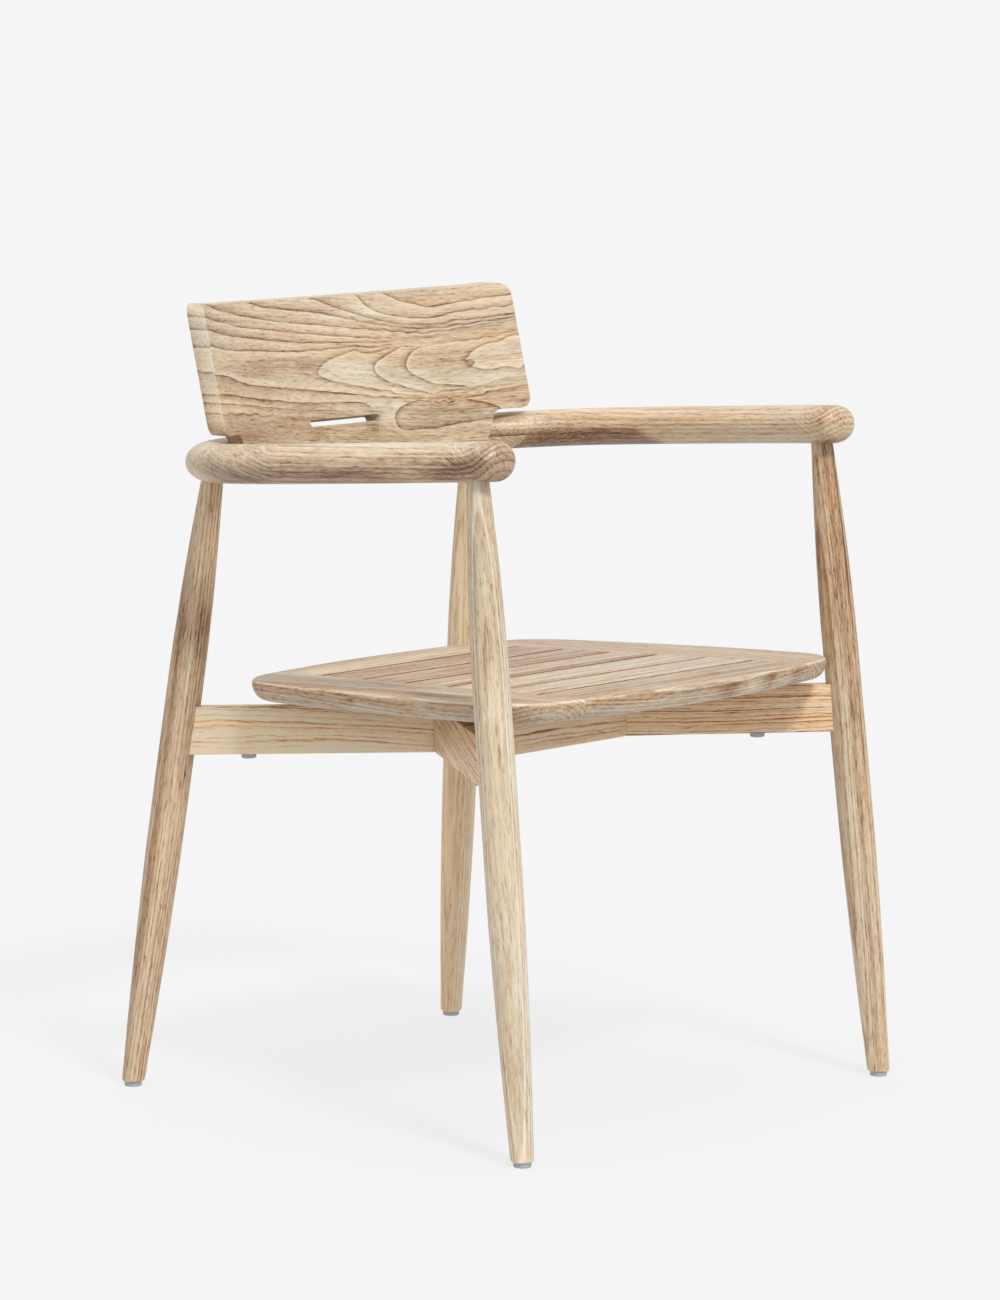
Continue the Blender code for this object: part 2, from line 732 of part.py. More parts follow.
def face_x_at(point, along, y):
    """x where a line through the point reaches the given y."""
    return point.x + along.x * (y - point.y) / along.y


def make_frame_arm(name, foot, top, side, leg, leg_cutter, cuts):
    """One arm of the underframe: mitred at the vertex, coped to its leg, with a tenon in the leg."""
    vertex, leg_point, along, normal = frame_arm_lines(foot, top, side)
    half = FRAME_THICKNESS / 2
    mitre_y = vertex.y + math.copysign(GAP / 2, along.y)
    ends = []
    for offset in (half, -half):
        start = vertex + normal * offset
        ends.append(Vector((face_x_at(start, along, mitre_y), mitre_y)))
    outline = [ends[0], ends[1], leg_point - normal * half, leg_point + normal * half]
    tall = FRAME_HEIGHT / 2
    arm = prism(name, [(p.x, p.y) for p in outline], -tall, tall, UNDER_FRAME)
    cut(arm, leg_cutter)
    tenon_half = FRAME_TENON_THICKNESS / 2
    tenon_tall = FRAME_TENON_HEIGHT / 2
    tip = leg_point - along * FRAME_TENON_SHORT_OF_AXIS
    root = leg_point - along * FRAME_TENON_ROOT
    for grow, action, target in ((0.0, join, arm), (GAP, cut, leg)):
        wide = normal * (tenon_half + grow)
        corners = [root + wide, root - wide, tip + along * grow - wide, tip + along * grow + wide]
        flat = [(p.x, p.y) for p in corners]
        reach = tenon_tall + grow
        solid = prism(f"tenon_{name}_{target.name}", flat, -reach, reach, UNDER_FRAME)
        action(target, as_cutter(solid))
    cut(arm, *cuts)
    return finish(arm, TEAK_WARM, 0.55)


def cross_rail_faces(foot, top, y):
    """Half length of a cross rail at depth y, where it meets the face of the right-hand arm."""
    vertex, _, along, normal = frame_arm_lines(foot, top, 1)
    inward = normal if normal.x < 0 else -normal
    return face_x_at(vertex + inward * (FRAME_THICKNESS / 2), along, y)


def cross_tenon(name, foot, top, y, grow):
    reach = cross_rail_faces(foot, top, y) + CROSS_TENON_LENGTH + grow
    half = FRAME_TENON_THICKNESS / 2 + grow
    tall = FRAME_TENON_HEIGHT / 2 + grow
    return as_cutter(box(name, (-reach, y - half, -tall), (reach, y + half, tall), UNDER_FRAME))


def make_cross_rail(name, foot, top, y, screws):
    half = FRAME_THICKNESS / 2
    tall = FRAME_HEIGHT / 2
    low_x = cross_rail_faces(foot, top, y - half) - GAP
    high_x = cross_rail_faces(foot, top, y + half) - GAP
    outline = [(-low_x, y - half), (low_x, y - half), (high_x, y + half), (-high_x, y + half)]
    rail = prism(name, outline, -tall, tall, UNDER_FRAME)
    join(rail, cross_tenon("tenon_" + name, foot, top, y, 0.0))
    cut(rail, *screws)
    return finish(rail, TEAK_WARM, 0.55)


def spline_box(name, side, grow):
    """The loose tongue across a mitre of the underframe."""
    middle = FRAME_VERTEX.x * side
    half = SPLINE_THICKNESS / 2 + grow
    run = SPLINE_LENGTH / 2 + grow
    tall = SPLINE_HEIGHT / 2 + grow
    low = (middle - half, FRAME_VERTEX.y - run, -tall)
    high = (middle + half, FRAME_VERTEX.y + run, tall)
    return box(name, low, high, UNDER_FRAME)


def make_bumper(name, foot, top, side, from_leg):
    """A stacking bumper under an underframe arm."""
    _, leg_point, along, _ = frame_arm_lines(foot, top, side)
    place = leg_point - along * from_leg
    top_z = -FRAME_HEIGHT / 2 - GAP
    profile = [
        (BUMPER_RADIUS, top_z),
        (BUMPER_RADIUS, top_z - BUMPER_HEIGHT + BUMPER_CHAMFER),
        (BUMPER_RADIUS - BUMPER_CHAMFER, top_z - BUMPER_HEIGHT),
    ]
    bumper = turned(name, profile, ROUND_SIDES, UNDER_FRAME @ Matrix.Translation((place.x, place.y, 0)))
    return finish(bumper, GREY_PLASTIC, 0.5)


# ---------------------------------------------------------------- screws


def screw_profile(length, head_radius, head_height, shank_radius, grow):
    """A countersunk screw along local Z with its head at the origin end and its point at +length."""
    return [
        (SCREW_TIP_RADIUS + grow, length + grow),
        (shank_radius + grow, length - SCREW_POINT_LENGTH),
        (shank_radius + grow, head_height),
        (head_radius + grow, SCREW_HEAD_RIM),
        (head_radius + grow, -grow),
    ]


def make_seat_screws():
    """Four screws and, for each, the cutter for its hole and for the recess below its head."""
    bottom = -FRAME_HEIGHT / 2 + SEAT_SCREW_RECESS
    length = (SEAT_TOP - SEAT_THICKNESS) - (FRAME_TOP - FRAME_HEIGHT) - SEAT_SCREW_RECESS + SEAT_SCREW_BITE
    cutters = {}
    for row, y in CROSS_RAIL_Y.items():
        for side_name, side in SIDES:
            name = f"seat_screw_{row}_{side_name}"
            matrix = UNDER_FRAME @ Matrix.Translation((BATTEN_X * side, y, bottom))
            sizes = (length, SEAT_SCREW_HEAD_RADIUS, SEAT_SCREW_HEAD_HEIGHT, SEAT_SCREW_SHANK_RADIUS)
            finish(turned(name, screw_profile(*sizes, 0.0), SCREW_SIDES, matrix), STEEL, 0.35, 1.0)
            hole = screw_profile(*sizes, GAP)
            hole[-1] = (hole[-1][0], -OVERCUT)
            cutters[row, side_name] = as_cutter(turned("hole_" + name, hole, SCREW_SIDES, matrix))
    return cutters


def rail_outer_distance(point, direction):
    """Distance in plan from a point to the outer surface of the rail's back part, along a direction."""
    stretch = math.hypot(1.0, RAIL_FALL)
    plan = [Vector((p.x, p.y / stretch + RAIL_FRONT_Y)) for p in rail_path()]
    back_part = [p for p in plan if p.y > 0.1]
    nearest = min(back_part, key=lambda p: abs(p.x - point.x))
    return (nearest - Vector((point.x, point.y))).dot(direction) + RAIL_HALF_WIDTH


def make_back_screws(rail_shape):
    """A screw each side that holds the board to the back rail, its hole, and the plug that covers it."""
    cutters = []
    for side_name, side in SIDES:
        x = BACK_SCREW_X * side
        forward = back_normal(x)
        surface = Vector((x, back_surface(x, BACK_SCREW_Z), BACK_SCREW_Z))
        tip = surface - forward * (BACK_THICKNESS - BACK_SCREW_BITE)
        plan_dir = Vector((-forward.x, -forward.y)).normalized()
        outer = rail_outer_distance(surface, plan_dir)
        head = surface - forward * (outer - BACK_SCREW_HEAD_DEPTH)
        length = (tip - head).length
        matrix = aligned_matrix(head, forward)
        name = "backrest_screw_" + side_name
        sizes = (length, BACK_SCREW_HEAD_RADIUS, BACK_SCREW_HEAD_HEIGHT, BACK_SCREW_SHANK_RADIUS)
        finish(turned(name, screw_profile(*sizes, 0.0), SCREW_SIDES, matrix), STEEL, 0.35, 1.0)
        bore = PLUG_RADIUS + GAP
        hole = screw_profile(*sizes, GAP) + [(bore, -GAP), (bore, -WIDE_CUT)]
        cutters.append(as_cutter(turned("hole_" + name, hole, SCREW_SIDES, matrix)))
        plug_profile = [(PLUG_RADIUS, -2 * GAP), (PLUG_RADIUS, -WIDE_CUT)]
        plug = turned("backrest_plug_" + side_name, plug_profile, ROUND_SIDES, matrix)
        keep_inside(plug, rail_shape)
        finish(plug, TEAK_WARM, 0.5)
    return cutters


# ---------------------------------------------------------------- assembly


def build():
    corners = (("front", FRONT_FOOT, FRONT_TOP), ("rear", REAR_FOOT, REAR_TOP))
    legs, bores = {}, {}
    for row, foot, top in corners:
        for side_name, side in SIDES:
            ends = (mirrored(foot, side), mirrored(top, side))
            legs[row, side_name], bores[row, side_name] = make_leg(f"leg_{row}_{side_name}", *ends)
            make_glide(f"glide_{row}_{side_name}", legs[row, side_name], *ends)

    mesh = rail_mesh()
    rail_shape = as_cutter(new_object("rail_shape", mesh.copy(), RAIL_FRAME))
    housing = housing_cutter()
    back_cuts = make_back_screws(rail_shape)
    board = make_backrest()
    cut(board, *back_cuts)
    for side_name, side in SIDES:
        make_arm(side_name, side, mesh, [bores["front", side_name], bores["rear", side_name], housing])
    make_back_rail(mesh, [bores["rear", "left"], bores["rear", "right"], housing] + back_cuts)

    screw_cuts = make_seat_screws()
    for side_name, side in SIDES:
        make_seat_side(side_name, side)
        make_batten(side_name, side, [screw_cuts["front", side_name], screw_cuts["rear", side_name]])
    front_edge = slot_y(SLOT_COUNT - 1) - SLOT_WIDTH / 2
    rear_edge = slot_y(0) + SLOT_WIDTH / 2
    far = CLEAR_OF_CHAIR
    make_seat_end("seat_front_rail", -far, front_edge, TONGUE_FRONT_Y, front_edge - TONGUE_SHOULDER)
    make_seat_end("seat_rear_rail", rear_edge, far, rear_edge + TONGUE_SHOULDER, TONGUE_REAR_Y)
    for index in range(SLOT_COUNT - 1):
        high_y, low_y = slot_y(index), slot_y(index + 1)
        rows = [row for row, y in CROSS_RAIL_Y.items() if low_y < y < high_y]
        make_slat(index, [screw_cuts[row, side_name] for row in rows for side_name, _ in SIDES])

    for side_name, side in SIDES:
        finish(spline_box("underframe_tongue_" + side_name, side, 0.0), TEAK_WARM, 0.6)
        slot = as_cutter(spline_box("slot_tongue_" + side_name, side, GAP))
        for row, foot, top in corners:
            name = f"underframe_arm_{row}_{side_name}"
            mortise = cross_tenon("mortise_" + name, foot, top, CROSS_RAIL_Y[row], GAP)
            key = (row, side_name)
            make_frame_arm(name, foot, top, side, legs[key], bores[key], [slot, mortise])
            make_bumper(f"stacking_bumper_{row}_{side_name}", foot, top, side, BUMPER_FROM_LEG[row])
    for row, foot, top in corners:
        cuts = [screw_cuts[row, side_name] for side_name, _ in SIDES]
        make_cross_rail(f"underframe_{row}_rail", foot, top, CROSS_RAIL_Y[row], cuts)


build()
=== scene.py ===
"""Looks of the low-back wooden armchair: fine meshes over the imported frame, teak, floor, light and camera."""

import math

import bmesh
import bpy
import numpy as np
from mathutils import Matrix, Vector


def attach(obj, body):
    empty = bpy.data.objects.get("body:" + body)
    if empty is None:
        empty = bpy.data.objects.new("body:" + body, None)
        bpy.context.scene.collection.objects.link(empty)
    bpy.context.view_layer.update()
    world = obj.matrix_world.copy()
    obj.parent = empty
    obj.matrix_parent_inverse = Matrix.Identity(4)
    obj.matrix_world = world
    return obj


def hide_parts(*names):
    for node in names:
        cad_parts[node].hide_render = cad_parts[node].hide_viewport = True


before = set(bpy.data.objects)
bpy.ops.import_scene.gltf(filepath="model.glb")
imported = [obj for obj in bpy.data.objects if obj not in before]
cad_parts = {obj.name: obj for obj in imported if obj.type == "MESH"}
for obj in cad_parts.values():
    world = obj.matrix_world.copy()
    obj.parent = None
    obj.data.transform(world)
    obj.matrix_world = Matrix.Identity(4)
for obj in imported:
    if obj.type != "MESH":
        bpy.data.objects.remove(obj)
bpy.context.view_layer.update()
SIDES = (("left", -1), ("right", 1))
GAP = 0.0003

# ---------------------------------------------------------------- sizes, in metres, as the solids have them

FRONT_FOOT = Vector((0.2810, -0.2716, 0.0))
FRONT_TOP = Vector((0.2666, -0.2044, 0.6412))
REAR_FOOT = Vector((0.2453, 0.2716, 0.0))
REAR_TOP = Vector((0.1971, 0.2010, 0.6150))
LEG_LOWER = ((-0.006, 0.0112), (0.03, 0.0121), (0.08, 0.0140), (0.14, 0.0158), (0.20, 0.0171), (0.26, 0.0178))
LEG_UPPER = ((0.20, 0.0179), (0.15, 0.0172), (0.11, 0.0162), (0.08, 0.0150), (0.05, 0.0136), (0.02, 0.0120))
LEG_TOP_RADIUS = 0.0109
LEG_INTO_RAIL = 0.012
LEG_FOOT_CHAMFER = 0.0014
GLIDE_RADIUS = 0.0087
GLIDE_HEIGHT = 0.0046
BUMPER_RADIUS = 0.0075
BUMPER_HEIGHT = 0.0050
BUMPER_FROM_LEG = {"front": 0.0904, "rear": 0.0683}

RAIL_HALF_WIDTH = 0.0245
RAIL_HALF_HEIGHT = 0.0193
RAIL_TIP_LENGTH = 0.0153
RAIL_FRONT_Y = -0.2228
RAIL_FRONT_Z = 0.6617
RAIL_FALL = 0.0663
RAIL_PLAN = (
    (0.2628, -0.2228), (0.2740, -0.1180), (0.2797, -0.0180), (0.2788, 0.0480), (0.2686, 0.1163),
    (0.2395, 0.1636), (0.1944, 0.1984), (0.1350, 0.2195), (0.0680, 0.2308), (0.0, 0.2340),
)
LAP_OUTER_X = 0.2222
LAP_INNER_X = 0.1650
LAP_HEIGHT = -0.005

BACK_DEPTH = 0.2036
BACK_LEVEL = 0.66
BACK_RECLINE = 0.2436
BACK_BEND = 1.004
BACK_THICKNESS = 0.0195
BACK_HALF_WIDTH = 0.2338
BACK_TOP_MIDDLE = 0.7832
BACK_TOP_RISE = 0.105
BACK_SHOULDER_Z = 0.6602
BACK_CORNER = 0.014
TAB_TOP_HALF_WIDTH = 0.1945
TAB_BOTTOM_HALF_WIDTH = 0.1800
TAB_BOTTOM_Z = 0.6295
GRIP_HALF_WIDTH = 0.0530
GRIP_Z = 0.6588
GRIP_HEIGHT = 0.0068

PITCH = math.atan(0.0288)
SEAT_TOP = 0.4243
SEAT_THICKNESS = 0.0205
SEAT_FRONT_Y = -0.2765
SEAT_FRONT_BOW = 0.55
SEAT_REAR_Y = 0.1745
SEAT_REAR_BOW = 0.50
SEAT_SIDE_X = 0.2520
SEAT_SIDE_BOW = 0.363
SEAT_SIDE_WIDEST_Y = -0.155
SEAT_CORNER_RUN = 0.053
SLOT_WIDTH = 0.0045
SLOT_REAR_Y = 0.0984
SLOT_PITCH = 0.05866
SLOT_COUNT = 6
SIDE_RAIL_INNER_X = 0.1575
SIDE_RAIL_INNER_TAPER = 0.0590

FRAME_TOP = 0.3924
FRAME_HEIGHT = 0.0477
FRAME_THICKNESS = 0.0208
FRAME_VERTEX = Vector((0.0651, 0.0139))
CROSS_RAIL_Y = {"front": -0.0590, "rear": 0.0868}
BATTEN_X = 0.085
BATTEN_WIDTH = 0.040
BATTEN_FRONT_Y = -0.170
BATTEN_REAR_Y = 0.118
SEAT_SCREW_HEAD_RADIUS = 0.0048
SEAT_SCREW_RECESS = 0.006
BACK_SCREW_X = 0.140
BACK_SCREW_Z = 0.6400
PLUG_RADIUS = 0.0052
PLUG_REAR = -0.09
PLUG_FRONT = -0.0235

RAIL_TILT = Matrix.Rotation(-math.atan(RAIL_FALL), 4, "X")
RAIL_FRAME = Matrix.Translation((0, RAIL_FRONT_Y, RAIL_FRONT_Z)) @ RAIL_TILT
SEAT_FRAME = Matrix.Translation((0, 0, SEAT_TOP)) @ Matrix.Rotation(-PITCH, 4, "X")
UNDER_FRAME = Matrix.Translation((0, 0, FRAME_TOP - FRAME_HEIGHT / 2)) @ Matrix.Rotation(-PITCH, 4, "X")


# ---------------------------------------------------------------- materials


def linear(value):
    """One 0 to 255 display value as scene-linear light."""
    c = value / 255
    return c / 12.92 if c <= 0.04045 else ((c + 0.055) / 1.055) ** 2.4


# Light that a face of the chair gets, relative to white, and what gloss adds
FACE_LIGHT = 1.30
GLOSS_LIFT = 0.030


def albedo(red, green, blue):
    """The surface colour that shows as this display colour under the studio light."""
    return tuple(max(0.004, (linear(v) - GLOSS_LIFT) / FACE_LIGHT) for v in (red, green, blue)) + (1.0,)


class Tree:
    """Short calls for building the nodes of a material, or of a world."""

    def __init__(self, owner, shader="Principled BSDF"):
        owner.use_nodes = True
        self.nodes = owner.node_tree.nodes
        self.links = owner.node_tree.links
        self.shader = self.nodes[shader]

    def put(self, socket, value):
        if isinstance(value, bpy.types.NodeSocket):
            self.links.new(value, socket)
        elif value is not None:
            socket.default_value = value

    def node(self, kind, inputs, **settings):
        """A new node with its settings and inputs; an input is another node's socket or a plain value."""
        node = self.nodes.new("ShaderNode" + kind)
        for name, value in settings.items():
            setattr(node, name, value)
        for name, value in inputs.items():
            self.put(node.inputs[name], value)
        return node.outputs

    def settle(self, **values):
        """Set uniform values on the shader, by socket name with underscores for spaces."""
        for name, value in values.items():
            self.shader.inputs[name.replace("_", " ")].default_value = value

    def attribute(self, name):
        return self.node("Attribute", {}, attribute_name=name)["Vector"]

    def coordinates(self, kind):
        return self.node("TexCoord", {})[kind]

    def pointiness(self):
        return self.node("NewGeometry", {})["Pointiness"]

    def axes(self, vector):
        return self.node("SeparateXYZ", {0: vector})

    def math(self, operation, a, b=None, clamp=False):
        return self.node("Math", {0: a, 1: b}, operation=operation, use_clamp=clamp)[0]

    def add(self, a, b, clamp=False):
        return self.math("ADD", a, b, clamp)

    def less(self, a, b):
        return self.math("SUBTRACT", a, b)

    def times(self, a, b):
        return self.math("MULTIPLY", a, b)

    def swing(self, total, value, weight):
        """Add a value that swings about a half, times a weight."""
        return self.add(total, self.times(self.less(value, 0.5), weight))

    def vector(self, operation, a, b=None, output=0):
        return self.node("VectorMath", {0: a, 1: b}, operation=operation)[output]

    def noise(self, place, scale, detail, rough=0.5, colour=False):
        """Noise in space when the scale is a vector, along a line when it is one number."""
        line = isinstance(scale, float)
        scaled = self.times(place, scale) if line else self.vector("MULTIPLY", place, scale)
        inputs = {"W" if line else "Vector": scaled, "Scale": 1.0, "Detail": detail, "Roughness": rough}
        outputs = self.node("TexNoise", inputs, noise_dimensions="1D" if line else "3D")
        return outputs["Color" if colour else "Fac"]

    def spread(self, value, low, high, to_low=0.0, to_high=1.0, smooth=False):
        inputs = {"Value": value, "From Min": low, "From Max": high, "To Min": to_low, "To Max": to_high}
        return self.node("MapRange", inputs, interpolation_type="SMOOTHSTEP" if smooth else "LINEAR")["Result"]

    def ramp(self, value, stops):
        node = self.nodes.new("ShaderNodeValToRGB")
        self.put(node.inputs["Fac"], value)
        points = node.color_ramp.elements
        while len(points) < len(stops):
            points.new(0.5)
        for point, (place, colour) in zip(points, stops):
            point.position = place
            point.color = colour if isinstance(colour, tuple) else (colour, colour, colour, 1.0)
        return node.outputs["Color"]

    def mix(self, share, a, b, blend="MIX"):
        return self.node("Mix", {"Factor": share, 6: a, 7: b}, data_type="RGBA", blend_type=blend)[2]

    def bump(self, height, distance, strength):
        inputs = {"Distance": distance, "Strength": strength, "Height": height}
        self.put(self.shader.inputs["Normal"], self.node("Bump", inputs)["Normal"])


def palette(*shown):
    """Stops of a colour ramp from display colours, palest first, evenly spaced."""
    return [(i / (len(shown) - 1), albedo(*colour)) for i, colour in enumerate(shown)]


TEAK = palette((242, 232, 213), (226, 210, 184), (203, 180, 151), (168, 138, 111), (112, 82, 60))
WARM_TEAK = palette((242, 226, 200), (226, 205, 174), (203, 175, 143), (168, 134, 104), (112, 80, 57))
RICH_TEAK = palette((244, 222, 188), (230, 200, 160), (210, 172, 132), (172, 130, 96), (114, 80, 57))
FRAME_TEAK = palette((247, 228, 196), (240, 207, 164), (224, 180, 138), (184, 134, 100), (132, 84, 58))
SEAT_TEAK = palette((238, 229, 214), (221, 207, 187), (197, 178, 154), (171, 140, 111), (142, 92, 58))

# Distance between growth rings in each family of pieces
SPACING = {"board": 0.006, "rail": 0.0046, "leg": 0.0036, "seat": 0.0044, "frame": 0.0046}


def timber(name, colours, ring, band, fibre, drift, irregular, base, sway=0.005, jitter=0.0016, fill=0.2, vary=0.5,
           coat=0.0):
    """Sawn and sanded teak. Vertex attributes give the place in the log (grain), the place along the fibres (fibre)
    and the look: a tone, the width of one growth ring on the surface and the strength of the ring lines.

    ring, band, fibre and drift weigh the ring lines, the ring to ring change, the fibres and the broad patches.
    irregular, sway and jitter disturb the rings. fill is the strength of the pale wood after a ring line, and vary
    how much the lines differ in strength."""
    material = bpy.data.materials.new("teak_" + name)
    t = Tree(material)
    log = t.attribute("grain")
    place = t.attribute("fibre")
    tone, width, strength = t.axes(t.attribute("look"))

    slow = t.noise(place, (2.6, 16.0, 16.0), 2.0, colour=True)
    slow = t.vector("MULTIPLY", t.vector("SUBTRACT", slow, (0.5, 0.5, 0.5)), (0.0, sway, sway))
    quick = t.noise(place, (34.0, 260.0, 260.0), 3.0, 0.6, colour=True)
    quick = t.vector("MULTIPLY", t.vector("SUBTRACT", quick, (0.5, 0.5, 0.5)), (0.0, jitter, jitter))
    warped = t.vector("ADD", t.vector("ADD", log, slow), quick)
    distance = t.vector("LENGTH", t.vector("MULTIPLY", warped, (0.0, 1.0, 1.0)), output=1)

    rings = t.math("DIVIDE", distance, SPACING[name.split("_")[0]])
    rings = t.swing(rings, t.noise(rings, 0.61, 2.0), irregular)
    phase = t.math("FRACT", rings)
    before = t.times(t.less(1.0, phase), width)
    after = t.times(phase, width)
    core = t.spread(before, 0.0, 0.0028, 1.0, 0.0, True)
    core = t.math("MAXIMUM", core, t.spread(after, 0.0, 0.0006, 1.0, 0.0, True))
    halo = t.spread(before, 0.0, 0.0090, 1.0, 0.0, True)
    pale = t.spread(after, 0.0002, 0.0110, 1.0, 0.0, True)
    own = t.node("TexWhiteNoise", {"W": t.math("FLOOR", rings)}, noise_dimensions="1D")["Value"]
    fade = t.noise(place, (9.0, 60.0, 60.0), 3.0, 0.6)
    core = t.times(core, t.spread(own, 0.0, 1.0, 1.0 - vary, 1.0))
    core = t.times(core, t.spread(fade, 0.36, 0.60, 0.40, 1.0))
    line = t.times(t.add(core, t.times(halo, 0.42)), strength)
    pale = t.times(pale, t.times(strength, fill))

    bands = t.noise(rings, 0.83, 3.0, 0.6)
    coarse = t.noise(place, (15.0, 300.0, 300.0), 4.0, 0.62)
    dashes = t.noise(place, (75.0, 620.0, 620.0), 2.0, 0.55)
    fine = t.noise(place, (150.0, 1150.0, 1150.0), 2.0, 0.6)
    pores = t.spread(dashes, 0.585, 0.68, smooth=True)
    patch = t.noise(place, (6.0, 34.0, 34.0), 3.0, 0.55)

    dark = t.less(t.times(line, ring), pale)
    for part, weight in ((bands, band), (coarse, fibre), (dashes, fibre * 0.75), (fine, fibre * 0.7)):
        dark = t.swing(dark, part, weight)
    dark = t.add(dark, t.times(pores, 0.16))
    dark = t.swing(dark, patch, drift)
    dark = t.add(dark, t.times(tone, 0.5))
    dark = t.add(dark, base - ring * 0.16)
    # Paler convex edges: partly rubbed wear, partly a painted highlight along the edges
    pale_edges = t.spread(t.pointiness(), 0.515, 0.60, 0.0, 0.12, smooth=True)
    # Painted shade: darker where the surface is concave
    crease_shade = t.spread(t.pointiness(), 0.485, 0.44, 0.0, 0.12, smooth=True)
    dark = t.add(t.less(dark, pale_edges), crease_shade, clamp=True)

    colour = t.ramp(dark, colours)
    warm = t.mix(1.0, colour, (1.04, 0.975, 0.91, 1.0), "MULTIPLY")
    cool = t.mix(1.0, colour, (0.98, 1.01, 1.04, 1.0), "MULTIPLY")
    hue = t.spread(t.noise(place, (3.0, 50.0, 50.0), 2.0), 0.38, 0.62)
    t.put(t.shader.inputs["Base Color"], t.mix(hue, cool, warm))

    rough = t.add(t.times(coarse, 0.22), t.times(line, 0.10))
    t.put(t.shader.inputs["Roughness"], t.add(rough, 0.32, clamp=True))
    height = t.add(t.times(coarse, 0.6), t.times(fine, 0.5))
    height = t.less(height, t.times(line, 0.10))
    height = t.less(height, t.times(pores, 0.45))
    t.bump(height, 0.00030, 0.45)
    t.settle(Specular_IOR_Level=0.45, Coat_Weight=coat, Coat_Roughness=0.42)
    return material


def moulded_plastic(name, shown):
    """Matt grey moulded plastic with a faint pebble and a slightly rubbed rim."""

    def shade(lift):
        return albedo(*[c + lift for c in shown])

    material = bpy.data.materials.new(name)
    t = Tree(material)
    where = t.coordinates("Object")
    pebble = t.noise(where, (2600.0, 2600.0, 2600.0), 3.0)
    cloud = t.noise(where, (240.0, 240.0, 240.0), 2.0)
    pale_edges = t.spread(t.pointiness(), 0.52, 0.62, 0.0, 0.35, smooth=True)
    mottle = t.add(t.times(cloud, 0.7), t.times(pebble, 0.3))
    body = t.ramp(mottle, ((0.3, shade(-14)), (0.7, shade(14))))
    t.put(t.shader.inputs["Base Color"], t.mix(pale_edges, body, shade(45)))
    t.put(t.shader.inputs["Roughness"], t.spread(pebble, 0.3, 0.7, 0.42, 0.60))
    t.bump(pebble, 0.0001, 0.25)
    return material


def screw_steel(name):
    """Plain steel with fine turning marks."""
    material = bpy.data.materials.new(name)
    t = Tree(material)
    marks = t.noise(t.coordinates("Object"), (900.0, 900.0, 5200.0), 3.0)
    steel = ((0.3, (0.42, 0.42, 0.43, 1.0)), (0.7, (0.60, 0.60, 0.61, 1.0)))
    t.put(t.shader.inputs["Base Color"], t.ramp(marks, steel))
    t.put(t.shader.inputs["Roughness"], t.spread(marks, 0.3, 0.7, 0.28, 0.46))
    t.bump(marks, 0.00005, 0.3)
    t.settle(Metallic=1.0)
    return material


WOODS = {
    name: timber(name, colours, *looks, **more)
    for name, colours, looks, more in (
        # ring, band, fibre, drift, irregular, base
        ("board", TEAK, (0.38, 0.12, 0.74, 0.44, 0.0, 0.46), dict(sway=0.0006, jitter=0.0005, fill=0.12, vary=0.35)),
        ("rail", TEAK, (0.24, 0.32, 0.74, 0.40, 1.4, 0.48), dict(coat=0.6)),
        ("rail_warm", WARM_TEAK, (0.24, 0.32, 0.74, 0.40, 1.4, 0.46), dict(coat=0.5)),
        ("leg", TEAK, (0.30, 0.50, 0.60, 0.34, 1.8, 0.39), dict(sway=0.004)),
        ("leg_warm", WARM_TEAK, (0.34, 0.55, 0.72, 0.30, 1.8, 0.42), dict(sway=0.004)),
        ("leg_rich", RICH_TEAK, (0.34, 0.55, 0.66, 0.34, 1.8, 0.42), dict(sway=0.004)),
        ("seat", SEAT_TEAK, (0.28, 0.50, 0.62, 0.34, 1.6, 0.58), {}),
        ("frame", FRAME_TEAK, (0.80, 0.44, 0.76, 0.46, 2.6, 0.09),
         dict(sway=0.028, jitter=0.0034, fill=0.12, vary=0.60)),
    )
}
PLASTIC = moulded_plastic("grey_plastic", (176, 178, 184))
STEEL = screw_steel("screw_steel")


# ---------------------------------------------------------------- mesh helpers


def mesh_object(name, bm, matrix=None):
    """A scratch object from a bmesh, in the given frame."""
    bmesh.ops.recalc_face_normals(bm, faces=bm.faces)
    mesh = bpy.data.meshes.new(name)
    bm.to_mesh(mesh)
    bm.free()
    obj = bpy.data.objects.new(name, mesh)
    bpy.context.scene.collection.objects.link(obj)
    if matrix is not None:
        mesh.transform(matrix)
    return obj


def circle(sides):
    """Points of a unit circle."""
    turns = [2 * math.pi * i / sides for i in range(sides)]
    return [(math.cos(a), math.sin(a)) for a in turns]


def skin(rings):
    """A bmesh through rings of points, each ring closed on itself, with the two ends filled."""
    bm = bmesh.new()
    rows = [[bm.verts.new(p) for p in ring] for ring in rings]
    count = len(rows[0])
    for upper, lower in zip(rows, rows[1:]):
        for i in range(count):
            j = (i + 1) % count
            bm.faces.new((upper[i], upper[j], lower[j], lower[i]))
    bm.faces.new(rows[0])
    bm.faces.new(rows[-1])
    return bm


def prism(name, outline, bottom, top, matrix=None):
    return mesh_object(name, skin([[(x, y, z) for x, y in outline] for z in (bottom, top)]), matrix)


def box(name, low, high, matrix=None):
    outline = [(low[0], low[1]), (high[0], low[1]), (high[0], high[1]), (low[0], high[1])]
    return prism(name, outline, low[2], high[2], matrix)


def lathe(name, profile, sides, matrix):
    """A turned shape from (radius, height) pairs along local Z."""
    rings = [[(radius * x, radius * y, height) for x, y in circle(sides)] for radius, height in profile]
    return mesh_object(name, skin(rings), matrix)


def boolean(obj, other, operation):
    modifier = obj.modifiers.new(operation, "BOOLEAN")
    modifier.operation = operation
    modifier.solver = "EXACT"
    modifier.object = other


def soften(obj, width, segments=3, angle=30):
    modifier = obj.modifiers.new("soft edges", "BEVEL")
    modifier.width = width
    modifier.segments = segments
    modifier.limit_method = "ANGLE"
    modifier.angle_limit = math.radians(angle)
    modifier.use_clamp_overlap = True
    modifier.miter_outer = "MITER_ARC"


